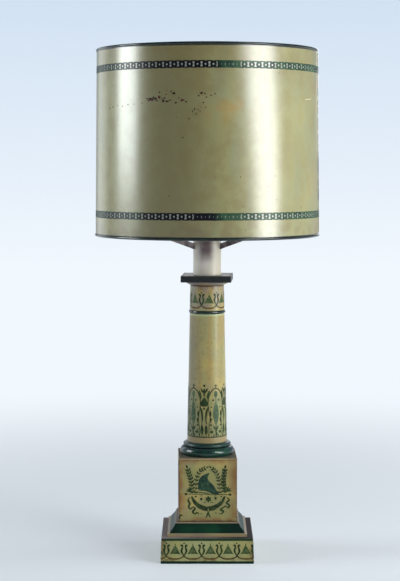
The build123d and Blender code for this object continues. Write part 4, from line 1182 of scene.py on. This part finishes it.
def trophy():
    """The trophy with x = 0 in the middle of the face and y = 0 at its lower edge."""
    return palms_and_wreath() + rod_and_garland() + ribbons() + rosette_and_tassel()


def cap():
    """The soft cap on the rod, with its turned-up brim."""
    crown = outline((-14.2, 46.4), (-15.0, 53.2), (-14.0, 60.6), (-11.2, 66.0), (-6.2, 69.8), (-0.8, 71.6),
                    (1.8, 72.0), (0.0, 68.2), (-0.8, 64.4), (1.8, 59.6), (6.8, 54.8), (10.4, 49.4),
                    (14.0, 43.4), (15.8, 40.4), (8.0, 40.2), (2.0, 43.0), (-6.0, 45.6))
    return crown + stroke((-14.6, 43.4, 1.2), (-6.0, 42.6, 1.5), (1.0, 41.2, 1.2), steps=2)


print("trophy:", len(trophy()), "shapes")


# %% Four trophies
def face_of_die(face=0):
    """A face of the pedestal, counted from the front towards the right."""
    return on_square(lambda level: die_side / 2, die_side / 2, die_turn + face * pi / 2)


trophy_shift = 0.4
trophy_drawing = filled(moved(trophy(), trophy_shift, die_low / mm))
cap_drawing = filled(moved(cap(), trophy_shift, die_low / mm))
for face, side_name in enumerate(("front", "right", "back", "left")):
    film("trophy_" + side_name, [trophy_drawing], face_of_die(face), stencil_green, "stand")
    film("trophy_cap_" + side_name, [cap_drawing], face_of_die(face), stencil_cap, "stand")

curl = stroke((-41.6, 3.6, 1.6), (-42.0, 6.8, 2.0), (-40.2, 9.4, 2.4), (-37.6, 8.6, 1.8), steps=3)
curl_drawing = filled(moved(curl, 0.0, die_low / mm))
film("curl_mark", [curl_drawing], face_of_die(), stencil_green, "stand")

# %% [markdown]
# ## The chain bands of the shade
#
# Two dark bands with a chain of links run round the shade. They were printed on the flat sheet, as
# dark paint with windows in it: an I-shaped window between two links, a round one inside each link,
# and a nick at both edges of the band. The pale strip on the wall shows in them. The print is smudged
# in places, and there the windows shrink. The bands are cut at the lap of the seam, where one repeat
# lies half a millimetre further out.

# %% One link
chain_links = 93
lap_degrees = 3.125
link_degrees = (360 - lap_degrees) / chain_links
link_step = 3.0


def along_wall(degrees):
    """The way round the foot of the shade's wall, in millimetres."""
    return radians(degrees) * wall_foot / mm


def link_windows(pitch, clear):
    """Windows of one repeat, with the link in its middle. Clear below 1 shrinks them."""
    middle = band_height / 2
    dot = spot(0, middle, 2.5 * clear, 2.9 * clear, steps=8)
    wide, waist, reach_up = 1.75 * clear, 0.8 * clear, 3.3 * clear
    half_i = [(-pitch / 2 + 0.02, middle - reach_up), (-pitch / 2 + wide, middle - reach_up),
              (-pitch / 2 + waist, middle), (-pitch / 2 + wide, middle + reach_up),
              (-pitch / 2 + 0.02, middle + reach_up)]
    other_i = [(-x, y) for x, y in reversed(half_i)]
    nick = 1.1 * clear
    nicks = [[(-nick, -0.1), (nick, -0.1), (0.5 * nick, 0.9 * clear), (-0.5 * nick, 0.9 * clear)],
             [(-0.5 * nick, band_height - 0.9 * clear), (0.5 * nick, band_height - 0.9 * clear),
              (nick, band_height + 0.1), (-nick, band_height + 0.1)]]
    return dot + [half_i, other_i] + nicks


def link(pitch, clear=1.0):
    """One repeat of a band, as a drawing."""
    ground = [(-pitch / 2, 0), (pitch / 2, 0), (pitch / 2, band_height), (-pitch / 2, band_height)]
    return filled([ground], link_windows(pitch, clear), link_step)


clear_link = link(along_wall(link_degrees))
smudged_link = link(along_wall(link_degrees), clear=0.42)
lap_link = link(along_wall(lap_degrees), clear=0.9)
print("one link:", len(clear_link[1]), "triangles")

# %% Chain bands
seam_azimuth = 83
seam_lift = 0.5 * mm
smudges = {"upper": (5, 15), "lower": (-7, 18)}


def chain_band(name, level):
    """A band, and the piece of it on the lap. A smudge lies between two azimuths of the front."""
    smudge_from, smudge_to = smudges[name]
    drawings = []
    for i in range(chain_links):
        azimuth = seam_azimuth + lap_degrees / 2 + (i + 0.5) * link_degrees
        front_azimuth = (azimuth + 180) % 360 - 180
        flat, faces = smudged_link if smudge_from < front_azimuth < smudge_to else clear_link
        shift = along_wall(azimuth - seam_azimuth)
        drawings.append(([(u + shift, v + level) for u, v in flat], faces))
    wall_place = on_round(wall_radius, wall_foot, seam_azimuth)
    film("chain_band_" + name, drawings, wall_place, band_paint, "shade")
    flat, faces = lap_link
    lap_drawing = ([(u, v + level) for u, v in flat], faces)
    lap_place = on_round(lambda z: wall_radius(z) + seam_lift, wall_foot, seam_azimuth)
    film("chain_lap_" + name, [lap_drawing], lap_place, band_paint, "shade")


for band_name, band_level in band_levels.items():
    chain_band(band_name, band_level)

# %% [markdown]
# ## Chips and a scratch
#
# The worst damage is a row of chips high on the front of the shade, where paint has flaked down to a
# red-brown primer. A chip has a ragged outline: a circle whose radius changes at random from point to
# point, from a seeded generator, so that it is the same every time. Each chip is given by its azimuth
# in degrees, its height and its size across and up, in millimetres, and one factor makes all of them
# larger. A thin pale scratch lies further round to the right.

# %% Chips
ragged = Random(4)
chip_growth = 1.55


def chip(x, y, across, up, steps=9):
    """A ragged spot."""
    return [[(x + across / 2 * ragged.uniform(0.45, 1.0) * cos(2 * pi * i / steps),
              y + up / 2 * ragged.uniform(0.45, 1.0) * sin(2 * pi * i / steps)) for i in range(steps)]]


chips = [
    (-28.6, 673.0, 7.5, 3.6), (-26.4, 673.6, 4.5, 3.0), (-31.0, 673.8, 2.6, 1.8), (-24.2, 675.6, 3.4, 4.2),
    (-22.0, 670.4, 4.2, 2.6), (-20.0, 669.8, 5.0, 2.8), (-21.4, 674.2, 2.4, 2.0), (-16.6, 680.8, 4.2, 3.0),
    (-18.0, 683.0, 1.8, 1.8), (-12.4, 671.2, 4.6, 3.4), (-15.6, 667.6, 2.6, 2.4), (-24.0, 682.0, 2.0, 2.0),
    (-3.0, 680.6, 4.6, 2.4), (-1.4, 680.0, 2.4, 1.4), (1.6, 677.2, 2.2, 1.6), (-2.2, 667.6, 1.8, 2.6),
    (-6.4, 658.6, 1.4, 2.6), (-4.6, 658.0, 1.2, 2.2), (-9.0, 646.0, 1.6, 2.0), (-3.6, 655.4, 1.2, 1.4),
    (-55.0, 664.0, 3.0, 1.4), (-51.0, 666.0, 2.4, 1.2), (-47.0, 664.4, 2.4, 1.4), (-43.0, 666.4, 2.0, 1.4),
    (-39.0, 667.0, 1.6, 1.4), (16.0, 566.0, 1.6, 1.8), (-12.0, 620.0, 1.4, 1.8), (-19.0, 540.0, 1.6, 1.6),
    (-30.0, 671.2, 2.6, 2.0), (-27.4, 675.4, 2.4, 2.2), (-25.4, 670.6, 3.0, 2.0), (-22.8, 673.0, 2.2, 1.6),
    (-18.4, 671.4, 2.4, 1.8), (-14.0, 674.0, 2.2, 2.0), (-10.4, 669.0, 2.4, 2.0), (-4.4, 677.0, 2.6, 1.8),
    (-0.6, 675.2, 1.8, 2.0), (3.6, 679.6, 2.2, 1.8), (-7.4, 655.6, 1.4, 2.6), (-34.0, 668.0, 2.0, 1.4),
    (-5.6, 652.2, 1.6, 3.0), (-20.6, 679.2, 2.0, 1.6), (-1.0, 661.0, 1.4, 1.8), (-58.0, 662.6, 2.6, 1.4),
]
chip_shapes = []
for azimuth, level, across, up in chips:
    chip_shapes += chip(along_wall(azimuth), level, across * chip_growth, up * chip_growth)
wall_place = on_round(wall_radius, wall_foot)
film("shade_chips", [filled(chip_shapes)], wall_place, chip_brown, "shade")

# %% Scratch
scratch_azimuth = 62
scratch_level = 675.4
scratch = stroke((-11.0, -0.8, 0.3), (-3.0, 0.2, 0.9), (6.0, 0.6, 0.7), (12.0, 1.6, 0.3), steps=3)
scratch_drawing = filled(moved(scratch, along_wall(scratch_azimuth), scratch_level))
film("shade_scratch", [scratch_drawing], wall_place, scratch_pale, "shade")

# %% [markdown]
# ## Closing
#
# Every solid must have got a paint. Nothing may reach outside the box of the solids, apart from the
# thickness of the paint. The solids that have none are printed.

# %% Check and finish
unpainted = sorted(set(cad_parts) - set(paints_in_use))
print("solids without a finish:", unpainted or "none")
